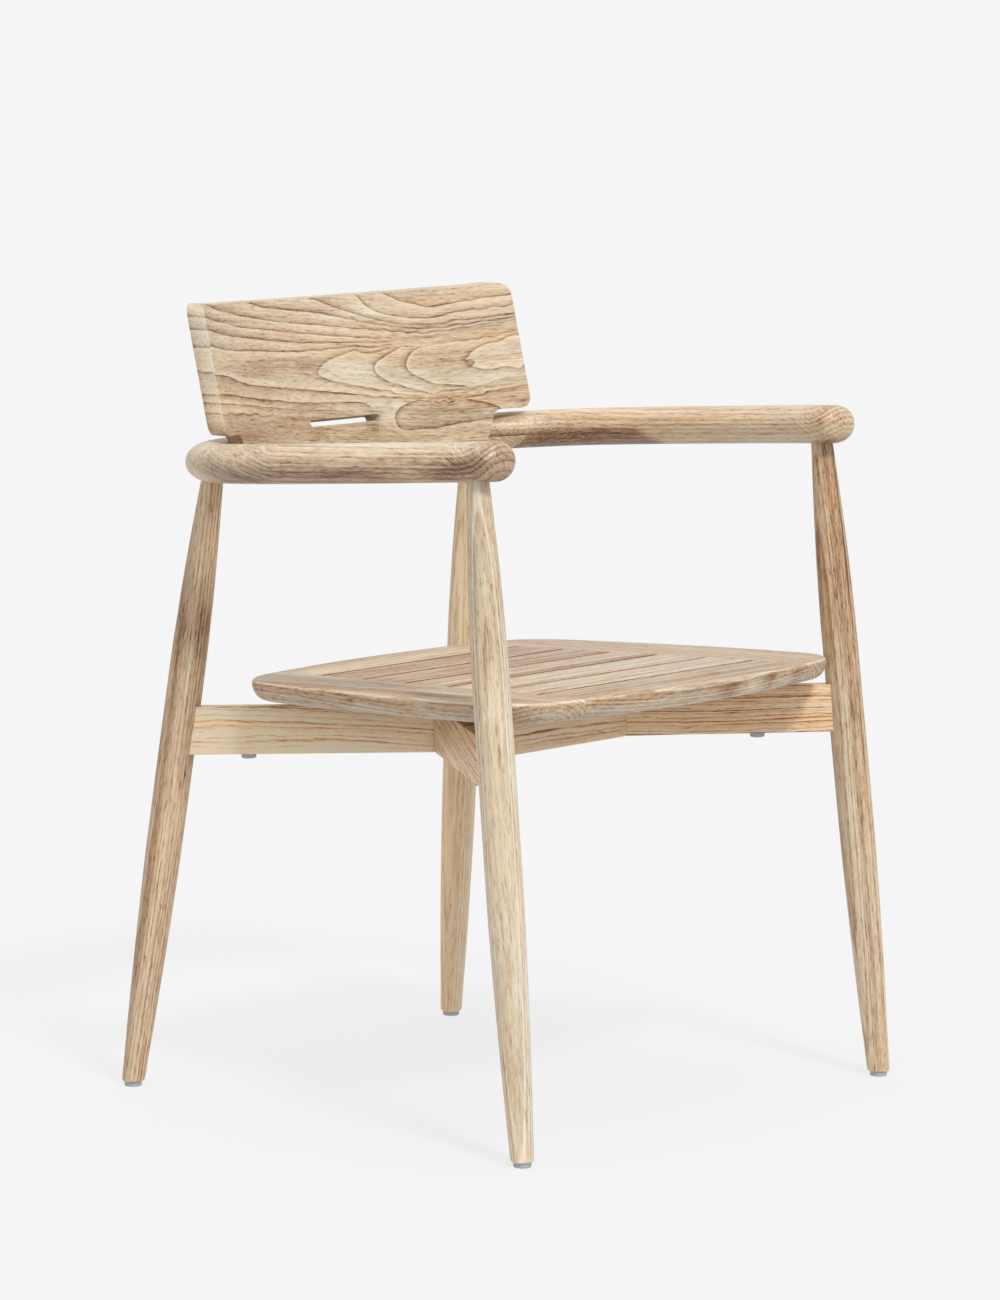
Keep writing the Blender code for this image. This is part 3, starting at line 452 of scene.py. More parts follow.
def baked(obj, *cutters):
    """The object's mesh with its modifiers applied; the object and its cutters go."""
    bpy.context.view_layer.update()
    mesh = bpy.data.meshes.new_from_object(obj.evaluated_get(bpy.context.evaluated_depsgraph_get()))
    for scratch in (obj, *cutters):
        bpy.data.objects.remove(scratch, do_unlink=True)
    return mesh


def smooth_line(points, steps):
    """Points on a Catmull-Rom curve through the given ones, with mirrored ends."""
    vectors = [Vector(p) for p in points]
    padded = [2 * vectors[0] - vectors[1]] + vectors + [2 * vectors[-1] - vectors[-2]]
    result = []
    for i in range(1, len(padded) - 2):
        a, b, c, d = padded[i - 1 : i + 3]
        for step in range(steps):
            t = step / steps
            bend = 2 * a - 5 * b + 4 * c - d
            twist = 3 * b - a - 3 * c + d
            result.append(0.5 * (2 * b + (c - a) * t + bend * t**2 + twist * t**3))
    result.append(vectors[-1])
    return result


def aligned(origin, axis):
    return Matrix.Translation(origin) @ Vector(axis).to_track_quat("Z", "Y").to_matrix().to_4x4()


def gauss(value, centre, width):
    return math.exp(-(((value - centre) / width) ** 2))


def ease(value, low, high):
    t = min(1.0, max(0.0, (value - low) / (high - low)))
    return t * t * (3 - 2 * t)


# ---------------------------------------------------------------- finished pieces


def piece(mesh, node, slot, material, grain=None, tone=None, fibre=None, rings=None, angle=32):
    """A finished mesh as the visible piece that stands for a CAD node."""
    obj = bpy.data.objects.new(node + "_seen", mesh)
    bpy.context.scene.collection.objects.link(obj)
    mesh.materials.clear()
    mesh.materials.append(material)
    mesh.shade_smooth()
    mesh.set_sharp_from_angle(angle=math.radians(angle))
    if grain is not None:
        ring_width = SPACING[material.name.split("_")[1]]
        log, along, look = [], [], []
        for vert in mesh.vertices:
            inside = grain(vert.co)
            log.extend(inside)
            along.extend(fibre(vert.co) if fibre else inside)
            shade = tone(vert.co) if tone else 0.0
            look.extend((shade, *(rings(vert.co) if rings else (ring_width, 1.0))))
        for label, values in (("grain", log), ("fibre", along), ("look", look)):
            mesh.attributes.new(label, "FLOAT_VECTOR", "POINT").data.foreach_set("vector", values)
    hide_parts(node)
    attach(obj, "root")


def log_frame(origin, along, across, pith, shift=0.0):
    """A function from a point to its place in the log: along the fibres, then across them from the pith."""
    x = Vector(along).normalized()
    y = (Vector(across) - Vector(across).dot(x) * x).normalized()
    z = x.cross(y)
    start = Vector(origin)

    def place(p):
        v = p - start
        return (v.dot(x) + shift, v.dot(y) + pith[0], v.dot(z) + pith[1])

    return place


# ---------------------------------------------------------------- legs, glides, bumpers


def leg_radius(length):
    """Smooth radius profile along a leg, as (height, radius) pairs."""
    known = list(LEG_LOWER) + [(length - below, radius) for below, radius in LEG_UPPER]
    known += [(length, LEG_TOP_RADIUS)]
    curve = smooth_line(known, 8)
    return [(p.x, p.y) for p in curve] + [(length + LEG_INTO_RAIL, LEG_TOP_RADIUS - 0.0002)]


def make_leg(row, side_name, foot, top, pith, tone):
    """A turned leg whose foot is cut level, a little above the floor, and chamfered."""
    axis = top - foot
    direction = axis.normalized()
    matrix = aligned(foot, axis)
    profile = leg_radius(axis.length)
    name = f"leg_{row}_{side_name}"
    upper = [(height, radius) for height, radius in profile if height > 0.009]
    rings = []
    for height, radius in [profile[0], profile[0]] + upper:
        rings.append([matrix @ Vector((radius * x, radius * y, height)) for x, y in circle(64)])
    level = GLIDE_HEIGHT + GAP
    for ring, floor in ((rings[0], level), (rings[1], level + LEG_FOOT_CHAMFER)):
        for i, p in enumerate(ring):
            ring[i] = p + direction * ((floor - p.z) / direction.z)
    centre = sum(rings[0], Vector()) / len(rings[0])
    rings[0] = [centre + (p - centre) * (1 - LEG_FOOT_CHAMFER / LEG_LOWER[0][1]) for p in rings[0]]
    mesh = baked(mesh_object(name, skin(rings)))
    grain = log_frame(foot, axis, (1, 0, 0), pith, shift=pith[0] * 31)
    wood = WOODS[{"leg_front_left": "leg", "leg_rear_right": "leg_rich"}.get(name, "leg_warm")]
    piece(mesh, name, "teak", wood, grain, tone)


def foot_centre(foot, top):
    centre = foot.lerp(top, GLIDE_HEIGHT / (top.z - foot.z))
    return Vector((centre.x, centre.y, 0.0))


def rounded_disc(radius, bottom, top, corner, dome=0.0):
    """Profile of a disc from bottom to top with a rounded lower corner."""
    profile = [(0.0002, bottom - dome), (radius * 0.5, bottom - dome * 0.72)]
    for i in range(6):
        a = math.radians(i * 18)
        profile.append((radius - corner + corner * math.sin(a), bottom + corner - corner * math.cos(a)))
    return profile + [(radius, top)]


def make_glide(row, side_name, foot, top):
    name = f"glide_{row}_{side_name}"
    profile = rounded_disc(GLIDE_RADIUS, 0.0, GLIDE_HEIGHT, 0.0014)
    mesh = baked(lathe(name, profile, 48, Matrix.Translation(foot_centre(foot, top))))
    piece(mesh, name, "grey_plastic", PLASTIC)


def axis_at_height(foot, top, height):
    return foot.lerp(top, (height - foot.z) / (top.z - foot.z))


def frame_lines(foot, top):
    """An underframe arm in plan: its vertex, leg point, direction and left-hand normal."""
    side = math.copysign(1, foot.x)
    leg = axis_at_height(foot, top, FRAME_TOP - FRAME_HEIGHT / 2)
    vertex = Vector((FRAME_VERTEX.x * side, FRAME_VERTEX.y))
    leg_point = Vector((leg.x, leg.y))
    along = (leg_point - vertex).normalized()
    return vertex, leg_point, along, Vector((-along.y, along.x))


def make_bumper(row, side_name, foot, top):
    _, leg_point, along, _ = frame_lines(foot, top)
    place = leg_point - along * BUMPER_FROM_LEG[row]
    upper = -FRAME_HEIGHT / 2 - GAP
    lower = upper - BUMPER_HEIGHT
    name = f"stacking_bumper_{row}_{side_name}"
    matrix = UNDER_FRAME @ Matrix.Translation((place.x, place.y, 0))
    mesh = baked(lathe(name, rounded_disc(BUMPER_RADIUS, lower + 0.0004, upper, 0.0020, 0.0004), 48, matrix))
    piece(mesh, name, "grey_plastic", PLASTIC)


# ---------------------------------------------------------------- horseshoe rail


def rail_path(steps):
    stretch = math.hypot(1.0, RAIL_FALL)
    half = [(x, (y - RAIL_FRONT_Y) * stretch) for x, y in RAIL_PLAN]
    return smooth_line([(-x, y) for x, y in half] + list(reversed(half[:-1])), steps)


def rail_body(name):
    """The whole rail: an oval swept along its centreline, with domed ends."""
    path = rail_path(9)
    first, last = (path[0] - path[1]).normalized(), (path[-1] - path[-2]).normalized()
    angles = [math.radians(a) for a in (88, 84, 78, 71, 63, 54, 45, 36, 27, 18, 9)]
    rows = [(path[0] + first * RAIL_TIP_LENGTH * math.sin(a), -first, math.cos(a)) for a in angles]
    for i, p in enumerate(path):
        ahead = path[min(i + 1, len(path) - 1)] - path[max(i - 1, 0)]
        rows.append((p, ahead.normalized(), 1.0))
    rows += [(path[-1] + last * RAIL_TIP_LENGTH * math.sin(a), last, math.cos(a)) for a in reversed(angles)]
    rings = []
    for centre, ahead, scale in rows:
        sideways = Vector((ahead.y, -ahead.x))
        ring = []
        for x, y in circle(56):
            out = centre + sideways * RAIL_HALF_WIDTH * scale * x
            ring.append((out.x, out.y, RAIL_HALF_HEIGHT * scale * y))
        rings.append(ring)
    return mesh_object(name, skin(rings), RAIL_FRAME)


def lap_block(name, side, inner, outer, low, high):
    near, far = sorted((inner * side, outer * side))
    return box(name, (near, -0.10, low), (far, 0.60, high), RAIL_FRAME)


def back_surface(x, z):
    return BACK_DEPTH + BACK_RECLINE * (z - BACK_LEVEL) - BACK_BEND * x * x


def plug_matrix(side):
    """Frame of a backrest screw and its plug, with +Z pointing forwards out of the board."""
    x = BACK_SCREW_X * side
    forward = Vector((-2 * BACK_BEND * x, -1.0, BACK_RECLINE)).normalized()
    return aligned(Vector((x, back_surface(x, BACK_SCREW_Z), BACK_SCREW_Z)), forward)


def make_rails():
    tall, far = 0.05, 0.40
    for side_name, side in SIDES:
        arm = rail_body("arm")
        cuts = [
            lap_block("a", side, -far, LAP_INNER_X + GAP / 2, -tall, tall),
            lap_block("b", side, -far, LAP_OUTER_X + GAP / 2, -tall, LAP_HEIGHT + GAP / 2),
        ]
        for cutter in cuts:
            boolean(arm, cutter, "DIFFERENCE")
        mesh = baked(arm, *cuts)
        wood = WOODS["rail" if side < 0 else "rail_warm"]
        looks = (arm_grain(side), arm_tone(side), arm_fibre(side), arm_rings(side))
        piece(mesh, "arm_" + side_name, "teak", wood, *looks)

    rail = rail_body("back")
    bore = [(PLUG_RADIUS + GAP / 2, PLUG_REAR), (PLUG_RADIUS + GAP / 2, PLUG_FRONT)]
    cuts = [lathe("plug_bore", bore, 40, plug_matrix(side)) for _, side in SIDES]
    for _, side in SIDES:
        cuts.append(lap_block("c", side, LAP_OUTER_X - GAP / 2, far, -tall, tall))
        cuts.append(lap_block("d", side, LAP_INNER_X - GAP / 2, far, LAP_HEIGHT - GAP / 2, tall))
    for cutter in cuts:
        boolean(rail, cutter, "DIFFERENCE")
    mesh = baked(rail, *cuts)
    grain = log_frame((0, 0.22, 0.63), (1, 0.02, 0.01), (0, 0.3, 1), (0.062, 0.030), 1.9)
    piece(mesh, "back_rail", "teak", WOODS["rail_warm"], grain, lambda p: 0.14)

    for side_name, side in SIDES:
        profile = [(PLUG_RADIUS, PLUG_REAR), (PLUG_RADIUS, PLUG_FRONT - 0.0008)]
        plug = lathe("plug", profile, 40, plug_matrix(side))
        whole = rail_body("whole")
        boolean(plug, whole, "INTERSECT")
        mesh = baked(plug, whole)
        grain = log_frame((0.14 * side, 0.24, 0.64), (1, 0.1, 0.2), (0, 0.2, 1), (0.02, 0.012), side * 0.4)
        piece(mesh, "backrest_plug_" + side_name, "teak", WOODS["frame"], grain, lambda p: 0.05)


def arm_place(p, side):
    """Where a point is on an arm: distance from the front, sideways and height over the axis."""
    return p.y, p.x * side - 0.2700, p.z - (RAIL_FRONT_Z - RAIL_FALL * (p.y - RAIL_FRONT_Y))


def arm_dip(y, side):
    """How far the fibres have sunk by this point along the arm: steep at the near arm's rear, else nearly level."""
    return (0.30 * max(0.0, y - 0.03) + 0.02 * y) * (1.0 if side < 0 else 0.10)


def arm_grain(side):
    """Rings that lie nearly level along the arm and curl round its tip."""

    def place(p):
        y, sideways, height = arm_place(p, side)
        curl_y, curl_height = -0.203, 0.016 if side < 0 else 0.020
        below = curl_height + 0.012 - height + arm_dip(y, side)
        ahead = 0.5 * (curl_y - y + math.hypot(curl_y - y, 0.012))
        return (y + 0.7 * side, math.hypot(below, 0.9 * ahead) + 0.05, 0.12 * sideways * side + 0.02)

    return place


def arm_fibre(side):
    def place(p):
        y, sideways, height = arm_place(p, side)
        tip = max(0.0, -0.180 - y)
        return (y + 0.7 * side, height - arm_dip(y, side) + tip * 0.6 + 0.3, sideways)

    return place


def arm_rings(side):
    """Ring width and line strength: the lines fade towards the rear, more on the near arm."""

    def rings(p):
        return SPACING["rail"], 1.0 - (0.75 if side < 0 else 0.35) * ease(p.y, 0.0, 0.10)

    return rings


def arm_tone(side):
    """Darker low on the arm's side, partly brown heartwood and partly painted shade, and a paler crown that is a
    painted highlight.
    """

    def tone(p):
        y, sideways, height = arm_place(p, side)
        rise = height / RAIL_HALF_HEIGHT
        # Paler towards the top: a painted highlight along the crown
        value = (-0.16 if side < 0 else -0.08) * ease(rise, 0.10, 0.75)
        if side < 0:
            # Near arm: darker low on the side, brown heartwood and painted shade
            low = ease(-rise, -0.10, 0.55)
            value += 0.54 * low * ease(y, -0.155, -0.10) * (1 - ease(y, 0.06, 0.14))
            value += 0.26 * gauss(y, -0.055, 0.050) * gauss(rise, -0.55, 0.30)
            value += 0.70 * gauss(y, -0.190, 0.034) * gauss(rise + 10.0 * (y + 0.190), -0.42, 0.42)
            value -= 0.10 * gauss(y, 0.150, 0.035) * gauss(rise, -0.3, 0.5)
            value += 0.24 + 0.40 * ease(-y, 0.196, 0.222)
        else:
            heart = ease(y - 0.03 * rise, 0.020, 0.040) * (1 - 0.3 * ease(y, 0.12, 0.2))
            value += 0.94 * heart * ease(-rise, -0.20, 0.30)
            value += 0.30 * gauss(y, -0.015, 0.050) * gauss(rise, 0.22, 0.16)
            value += (0.34 * ease(-rise, 0.62, 0.90) - 0.16 * ease(-rise, -0.1, 0.3)) * (1 - ease(y, 0.02, 0.04))
            # Painted highlight: a pale patch high on the far arm's front part
            value -= 0.20 * gauss(y, -0.130, 0.030) * gauss(rise, 0.30, 0.35)
            value += 0.12 + 0.20 * ease(-y, 0.200, 0.225)
        return value

    return tone


# ---------------------------------------------------------------- backrest


def rounded_corner(before, corner, after, radius, steps):
    corner = Vector(corner)
    start = corner + (Vector(before) - corner).normalized() * radius
    end = corner + (Vector(after) - corner).normalized() * radius
    points = []
    for i in range(steps + 1):
        t = i / steps
        points.append((1 - t) ** 2 * start + 2 * t * (1 - t) * corner + t**2 * end)
    return points


def back_top(x):
    return BACK_TOP_MIDDLE + BACK_TOP_RISE * x * x


def back_outline():
    """The board seen from the front; the points lie close together so that the grain is carried evenly."""
    w, tab, low = BACK_HALF_WIDTH, TAB_TOP_HALF_WIDTH, TAB_BOTTOM_HALF_WIDTH
    top_z = back_top(w)
    right = [Vector((low, TAB_BOTTOM_Z))]
    right += rounded_corner((low, TAB_BOTTOM_Z), (tab, BACK_SHOULDER_Z), (w, BACK_SHOULDER_Z), 0.008, 6)
    right += rounded_corner((tab, BACK_SHOULDER_Z), (w, BACK_SHOULDER_Z), (w, top_z), BACK_CORNER, 8)
    side_low, side_high = BACK_SHOULDER_Z + BACK_CORNER, top_z - BACK_CORNER
    right += [Vector((w, side_low + (side_high - side_low) * i / 36)) for i in range(1, 36)]
    right += rounded_corner((w, BACK_SHOULDER_Z), (w, top_z), (0, top_z), BACK_CORNER, 8)
    right += [Vector((x, back_top(x))) for x in (0.20 - 0.004 * i for i in range(51))]
    return right + [Vector((-p.x, p.y)) for p in reversed(right[:-1])]


def grip_outline():
    radius = GRIP_HEIGHT / 2
    run = GRIP_HALF_WIDTH - radius
    points = []
    for side in (1, -1):
        for step in range(13):
            a = math.radians(-90 + 15 * step)
            points.append((side * (run + radius * math.cos(a)), side * radius * math.sin(a)))
    return points


def bent_sheet(name):
    """The board's blank: a bent sheet of small facets, thickened to the rear."""
    columns = [-0.26 + 0.52 * i / 130 for i in range(131)]
    rows = [0.600 + 0.23 * i / 84 for i in range(85)]
    bm = bmesh.new()
    sheets = []
    for offset in (0.0, 1.0):
        grid = []
        for z in rows:
            line = []
            for x in columns:
                out = Vector((-2 * BACK_BEND * x, -1.0, BACK_RECLINE)).normalized()
                p = Vector((x, back_surface(x, z), z)) - out * BACK_THICKNESS * offset
                line.append(bm.verts.new(p))
            grid.append(line)
        sheets.append(grid)
    last_row, last_column = len(rows) - 1, len(columns) - 1
    for grid in sheets:
        for a, b in zip(grid, grid[1:]):
            for i in range(last_column):
                bm.faces.new((a[i], a[i + 1], b[i + 1], b[i]))
    front, back = sheets
    rim = [((j, i), (j, i + 1)) for j in (0, last_row) for i in range(last_column)]
    rim += [((j, i), (j + 1, i)) for i in (0, last_column) for j in range(last_row)]
    for (a, b), (c, d) in rim:
        bm.faces.new((front[a][b], front[c][d], back[c][d], back[a][b]))
    return mesh_object(name, bm)


# The board's figure, drawn after the picture: growth lines, each as its ring number, then points in millimetres
# across the board from its middle and up from the floor. A fraction of a ring steers the count between the lines.
GROWTH_LINES = (
    (1.6, (110, 783), (160, 780), (230, 785)),
    (2, (87, 783), (105, 775), (120, 772), (140, 767), (170, 770), (233, 777)),
    (3, (50, 783), (65, 769), (90, 760.5), (140, 755.5), (170, 761), (233, 767)),
    (4, (-10, 781), (20, 771), (60, 759.5), (100, 751), (140, 749), (200, 753.5), (233, 757)),
    (5, (-100, 778), (-55, 772.5), (0, 766), (60, 754), (100, 747.5), (140, 745.5), (233, 754)),
    (6, (-200, 782), (-140, 771.5), (-80, 762.5), (0, 753.5), (80, 746), (140, 741.5), (233, 751)),
    (7, (-230, 776), (-180, 767), (-140, 760), (-60, 751.5), (40, 739.5), (100, 736)),
    (7, (100, 736), (140, 737), (200, 744), (233, 748)),
    (8, (-230, 764), (-180, 755), (-120, 747.5), (-40, 738.5), (40, 735)),
    (9, (-230, 748), (-180, 740.5), (-120, 736), (-60, 731.5), (30, 731)),
    (9.55, (-150, 720), (-80, 718)),
    (9.9, (-50, 713)),
    (10, (33, 728), (0, 721), (-18, 714.5), (-26, 708), (-18, 702.5), (20, 693.5), (80, 681)),
    (10, (80, 681), (120, 677), (160, 679), (200, 685.5), (233, 688.5)),
    (10.15, (5, 718), (20, 721.5), (40, 724)),
    (10.15, (0, 701.5), (30, 695), (60, 688.5), (80, 685)),
    (10.3, (20, 709), (35, 708)),
    (11, (100, 729), (83, 723), (63, 714.5), (57, 708), (63, 699.5), (80, 691.5), (125, 678)),
    (12, (233, 740), (180, 733), (140, 729.5), (112, 723.5), (99, 709), (110, 698), (130, 689)),
    (12, (130, 689), (160, 685.5), (180, 683.5), (205, 690), (233, 692.5)),
    (11.2, (72, 713), (90, 721), (100, 724)),
    (11.2, (75, 697), (100, 689.5), (120, 683)),
    (11.4, (78, 708)),
    (12.15, (116, 719.5), (140, 725.5), (180, 729), (215, 734.5)),
    (12.15, (120, 696.5), (140, 691.5), (180, 688), (215, 696)),
    (12.5, (136, 710)),
    (12.8, (160, 710.5), (170, 721), (178, 701)),
    (13, (233, 735), (190, 724.5), (173, 711), (190, 701.5), (233, 704)),
    (13.4, (195, 713), (233, 717)),
    (9, (-230, 722), (-200, 717.5), (-160, 707), (-100, 698.5), (-20, 690), (60, 680)),
    (9, (60, 680), (120, 675.5), (160, 673), (200, 679.5), (233, 684)),
    (8, (-240, 702), (-200, 699), (-140, 690), (-60, 680.5), (0, 677), (36, 674), (50, 660)),
    (8, (50, 660), (47, 640)),
    (7, (-240, 694), (-180, 688), (-120, 680), (-60, 673), (10, 668), (34, 660), (32, 640)),
    (6, (-235, 684), (-150, 677), (-60, 667), (-20, 663.5), (-26, 650), (-30, 640)),
    (6.2, (0, 649)),
    (5.75, (-220, 670), (-100, 655), (-60, 645)),
    (8.25, (62, 657)),
    (8, (180, 669), (150, 673), (110, 674), (85, 668), (73, 657), (82, 644.5), (120, 644)),
    (8, (120, 644), (150, 647), (195, 652)),
    (7.75, (100, 658), (130, 657), (170, 660)),
    (7.85, (95, 669), (120, 670.5), (145, 669)),
    (8.3, (80, 636), (140, 638)),
)
FIELD_STRETCH = 1.6
FIELD_ROUNDING = 0.004
FIELD_SLACK = 2e-4


def growth_field():
    """A smooth ring count over the board through the growth lines, by radial interpolation."""
    places, counts = [], []
    for count, *line in GROWTH_LINES:
        points = [Vector((x / 1000, z / 1000)) for x, z in line]
        for p in smooth_line(points, 3) if len(points) > 1 else points:
            places.append((p.x, p.y * FIELD_STRETCH))
            counts.append(count)
    places, counts = np.array(places), np.array(counts, dtype=float)

    def kernel(first, second):
        squares = ((first[:, None, :] - second[None, :, :]) ** 2).sum(axis=2)
        return np.sqrt(squares + FIELD_ROUNDING**2)

    total = len(places)
    system = np.zeros((total + 3, total + 3))
    system[:total, :total] = kernel(places, places) - FIELD_SLACK * np.eye(total)
    system[:total, total] = system[total, :total] = 1.0
    system[:total, total + 1 :] = places
    system[total + 1 :, :total] = places.T
    weights = np.linalg.solve(system, np.concatenate((counts, np.zeros(3))))

    def evaluate(points):
        spread = np.array([(x, z * FIELD_STRETCH) for x, z in points])
        flat = np.column_stack((np.ones(len(spread)), spread)) @ weights[total:]
        return kernel(spread, places) @ weights[:total] + flat

    return evaluate


def board_looks(mesh):
    """Per vertex: the ring count, the ring width on the surface and the strength of its line.

    The lines are calm along the top edge, under the hand slot and low at the left."""
    field = growth_field()
    step = 0.0008
    spots = [(v.co.x, v.co.z) for v in mesh.vertices]
    here = field(spots)
    slope_x = (field([(x + step, z) for x, z in spots]) - here) / step
    slope_z = (field([(x, z + step) for x, z in spots]) - here) / step
    width = 1.0 / np.maximum(np.hypot(slope_x, slope_z), 8.0)
    looks = []
    for (x, z), count, ring in zip(spots, here.tolist(), width.tolist()):
        under_slot = ease(0.672 - z, 0.0, 0.006) * ease(x, -0.10, -0.07) * (1 - ease(x, 0.060, 0.068))
        left_low = ease(0.677 - z, 0.0, 0.006) * (1 - ease(x, -0.07, -0.04))
        top_edge = ease(z - back_top(x), -0.0012, -0.0002)
        clear = ease(ring, 0.0010, 0.0040)
        for calm, share in ((left_low, 0.85), (top_edge, 0.85), (under_slot, 0.85)):
            clear *= 1 - share * calm
        looks.append((count, ring, clear))
    return looks


def depth_in_board(p):
    return p.y - back_surface(p.x, p.z)


def board_fibre(p):
    """Fibre space that follows the lie of the growth lines: falling to the right, then rising a little."""
    bend = math.hypot(p.x - 0.135, 0.03) - 0.03
    slope = 0.10 if p.x < 0.135 else 0.06
    return (p.x + 3.1, p.z - slope * bend, depth_in_board(p))


# Brown (plus) and pale (minus) patches of the board: strength, then middle and reach in millimetres, x and z
BOARD_PATCHES = (
    (0.22, -40, 22, 712, 9),
    (0.20, -140, 85, 660, 12),
    (0.34, -45, 17, 647, 6),
    (0.30, 118, 38, 659, 10.5),
    (0.28, 42, 12, 650, 10),
    (0.12, 205, 30, 674, 10),
    (0.26, 140, 40, 777, 7),
    (-0.30, 15, 34, 709, 12),
    (-0.26, 95, 35, 684, 7),
    (-0.26, 60, 30, 765, 8),
    (-0.26, 210, 26, 716, 11),
    (-0.30, 60, 10, 656, 12),
    (-0.20, 0, 22, 648, 5),
    (0.22, 145, 22, 710, 12),
    (-0.12, -180, 60, 742, 12),
)


def board_tone(p):
    x, z = p.x, p.z
    depth = depth_in_board(p)
    brown = ease(z, 0.704, 0.716) * (1 - ease(z, 0.7262, 0.7292))
    value = 0.30 * brown * (ease(x, -0.19, -0.13) - ease(x, -0.05, 0.02))
    for strength, middle_x, reach_x, middle_z, reach_z in BOARD_PATCHES:
        patch = gauss(x, middle_x / 1000, reach_x / 1000) * gauss(z, middle_z / 1000, reach_z / 1000)
        value += strength * patch
    # The pale end face, a painted highlight along its front edge, painted light on the shaded edges of the tab and
    # painted light on the shaded walls of the grip
    value += ease(-x, 0.2300, 0.2325) * (0.10 * ease(depth, 0.003, 0.006) - 0.12)
    value -= ease(-x, 0.2285, 0.2310) * 0.34 * (1 - ease(depth, 0.0030, 0.0045))
    value -= 0.95 * ease(abs(x), 0.165, 0.175) * ease(0.667 - z, 0.0, 0.004) * ease(depth, 0.001, 0.004)
    if abs(x) < 0.056 and abs(z - GRIP_Z) < 0.006 and depth < BACK_THICKNESS - 0.001:
        value -= 0.30 * ease(depth, 0.0005, 0.0030)
    return value + 0.13 * ease(-x, 0.06, 0.16) + 0.24 * (1 - ease(z, 0.664, 0.684))


def make_backrest():
    board = bent_sheet("board")
    upright = Matrix.Rotation(math.radians(90), 4, "X")
    edge = prism("edge", [(p.x, p.y) for p in back_outline()], -0.35, -0.05, upright)
    tilt = Matrix.Rotation(math.radians(90) - math.atan(BACK_RECLINE), 4, "X")
    grip_place = Matrix.Translation((0, back_surface(0, GRIP_Z), GRIP_Z)) @ tilt
    grip = prism("grip", grip_outline(), -0.05, 0.05, grip_place)
    boolean(board, edge, "INTERSECT")
    boolean(board, grip, "DIFFERENCE")
    soften(board, 0.0036, 5)
    mesh = baked(board, edge, grip)
    looks = board_looks(mesh)
    counts = iter(looks)
    lines = iter(looks)

    def grain(p):
        return (p.x + 3.1, SPACING["board"] * (1000 + next(counts)[0]), depth_in_board(p) * 0.4)

    def rings(p):
        return next(lines)[1:]

    piece(mesh, "backrest_panel", "teak", WOODS["board"], grain, board_tone, board_fibre, rings, angle=50)


# ---------------------------------------------------------------- seat


def side_x(y):
    return SEAT_SIDE_X - SEAT_SIDE_BOW * (y - SEAT_SIDE_WIDEST_Y) ** 2


def front_y(x):
    return SEAT_FRONT_Y + SEAT_FRONT_BOW * x * x


def rear_y(x):
    return SEAT_REAR_Y - SEAT_REAR_BOW * x * x


def meeting_point(edge):
    x = SEAT_SIDE_X
    for _ in range(20):
        x = side_x(edge(x))
    return Vector((x, edge(x)))


def quadratic(start, control, end, steps):
    points = []
    for i in range(1, steps):
        t = i / steps
        points.append((1 - t) ** 2 * start + 2 * t * (1 - t) * control + t**2 * end)
    return points


def seat_outline():
    front_corner, rear_corner = meeting_point(front_y), meeting_point(rear_y)
    front_end = front_corner.x - SEAT_CORNER_RUN
    rear_end = rear_corner.x - SEAT_CORNER_RUN
    side_start, side_end = front_corner.y + SEAT_CORNER_RUN, rear_corner.y - SEAT_CORNER_RUN
    half = [Vector((front_end * i / 12, front_y(front_end * i / 12))) for i in range(13)]
    half += quadratic(half[-1], front_corner, Vector((side_x(side_start), side_start)), 14)
    for i in range(25):
        y = side_start + (side_end - side_start) * i / 24
        half.append(Vector((side_x(y), y)))
    rear_run = [Vector((rear_end * i / 12, rear_y(rear_end * i / 12))) for i in range(12, -1, -1)]
    half += quadratic(half[-1], rear_corner, rear_run[0], 14) + rear_run
    return half + [Vector((-p.x, p.y)) for p in reversed(half[1:-1])]


def inset(outline, distance):
    result = []
    count = len(outline)
    for i, point in enumerate(outline):
        along = (outline[(i + 1) % count] - outline[i - 1]).normalized()
        result.append(point + Vector((-along.y, along.x)) * distance)
    return result


# The seat's edge from the top surface round to the underside: how far in from the outline, how deep
SEAT_EDGE = (
    (0.0046, 0.0), (0.0026, 0.0003), (0.0012, 0.0010), (0.0003, 0.0024), (0.0, 0.0045), (0.0001, 0.0070),
    (0.0010, 0.0105), (0.0028, 0.0142), (0.0052, 0.0172), (0.0082, 0.0193), (0.0112, 0.0203), (0.0135, 0.0205),
)


def seat_blank(name):
    """The whole seat, with its top arris rounded and its edge curving under."""
    outline = seat_outline()
    rings = [[(p.x, p.y, -depth) for p in inset(outline, distance)] for distance, depth in SEAT_EDGE]
    return mesh_object(name, skin(rings), SEAT_FRAME)


def inner_x(y):
    return SIDE_RAIL_INNER_X - SIDE_RAIL_INNER_TAPER * y


def slot_y(index):
    return SLOT_REAR_Y - SLOT_PITCH * index


def strip(low_y, high_y, spread):
    low_x, high_x = inner_x(low_y) + spread, inner_x(high_y) + spread
    return [(-low_x, low_y), (low_x, low_y), (high_x, high_y), (-high_x, high_y)]


SEAT_INVERSE = SEAT_FRAME.inverted()
SLAT_TONES = (0.46, 0.32, 0.20, -0.06, -0.02)


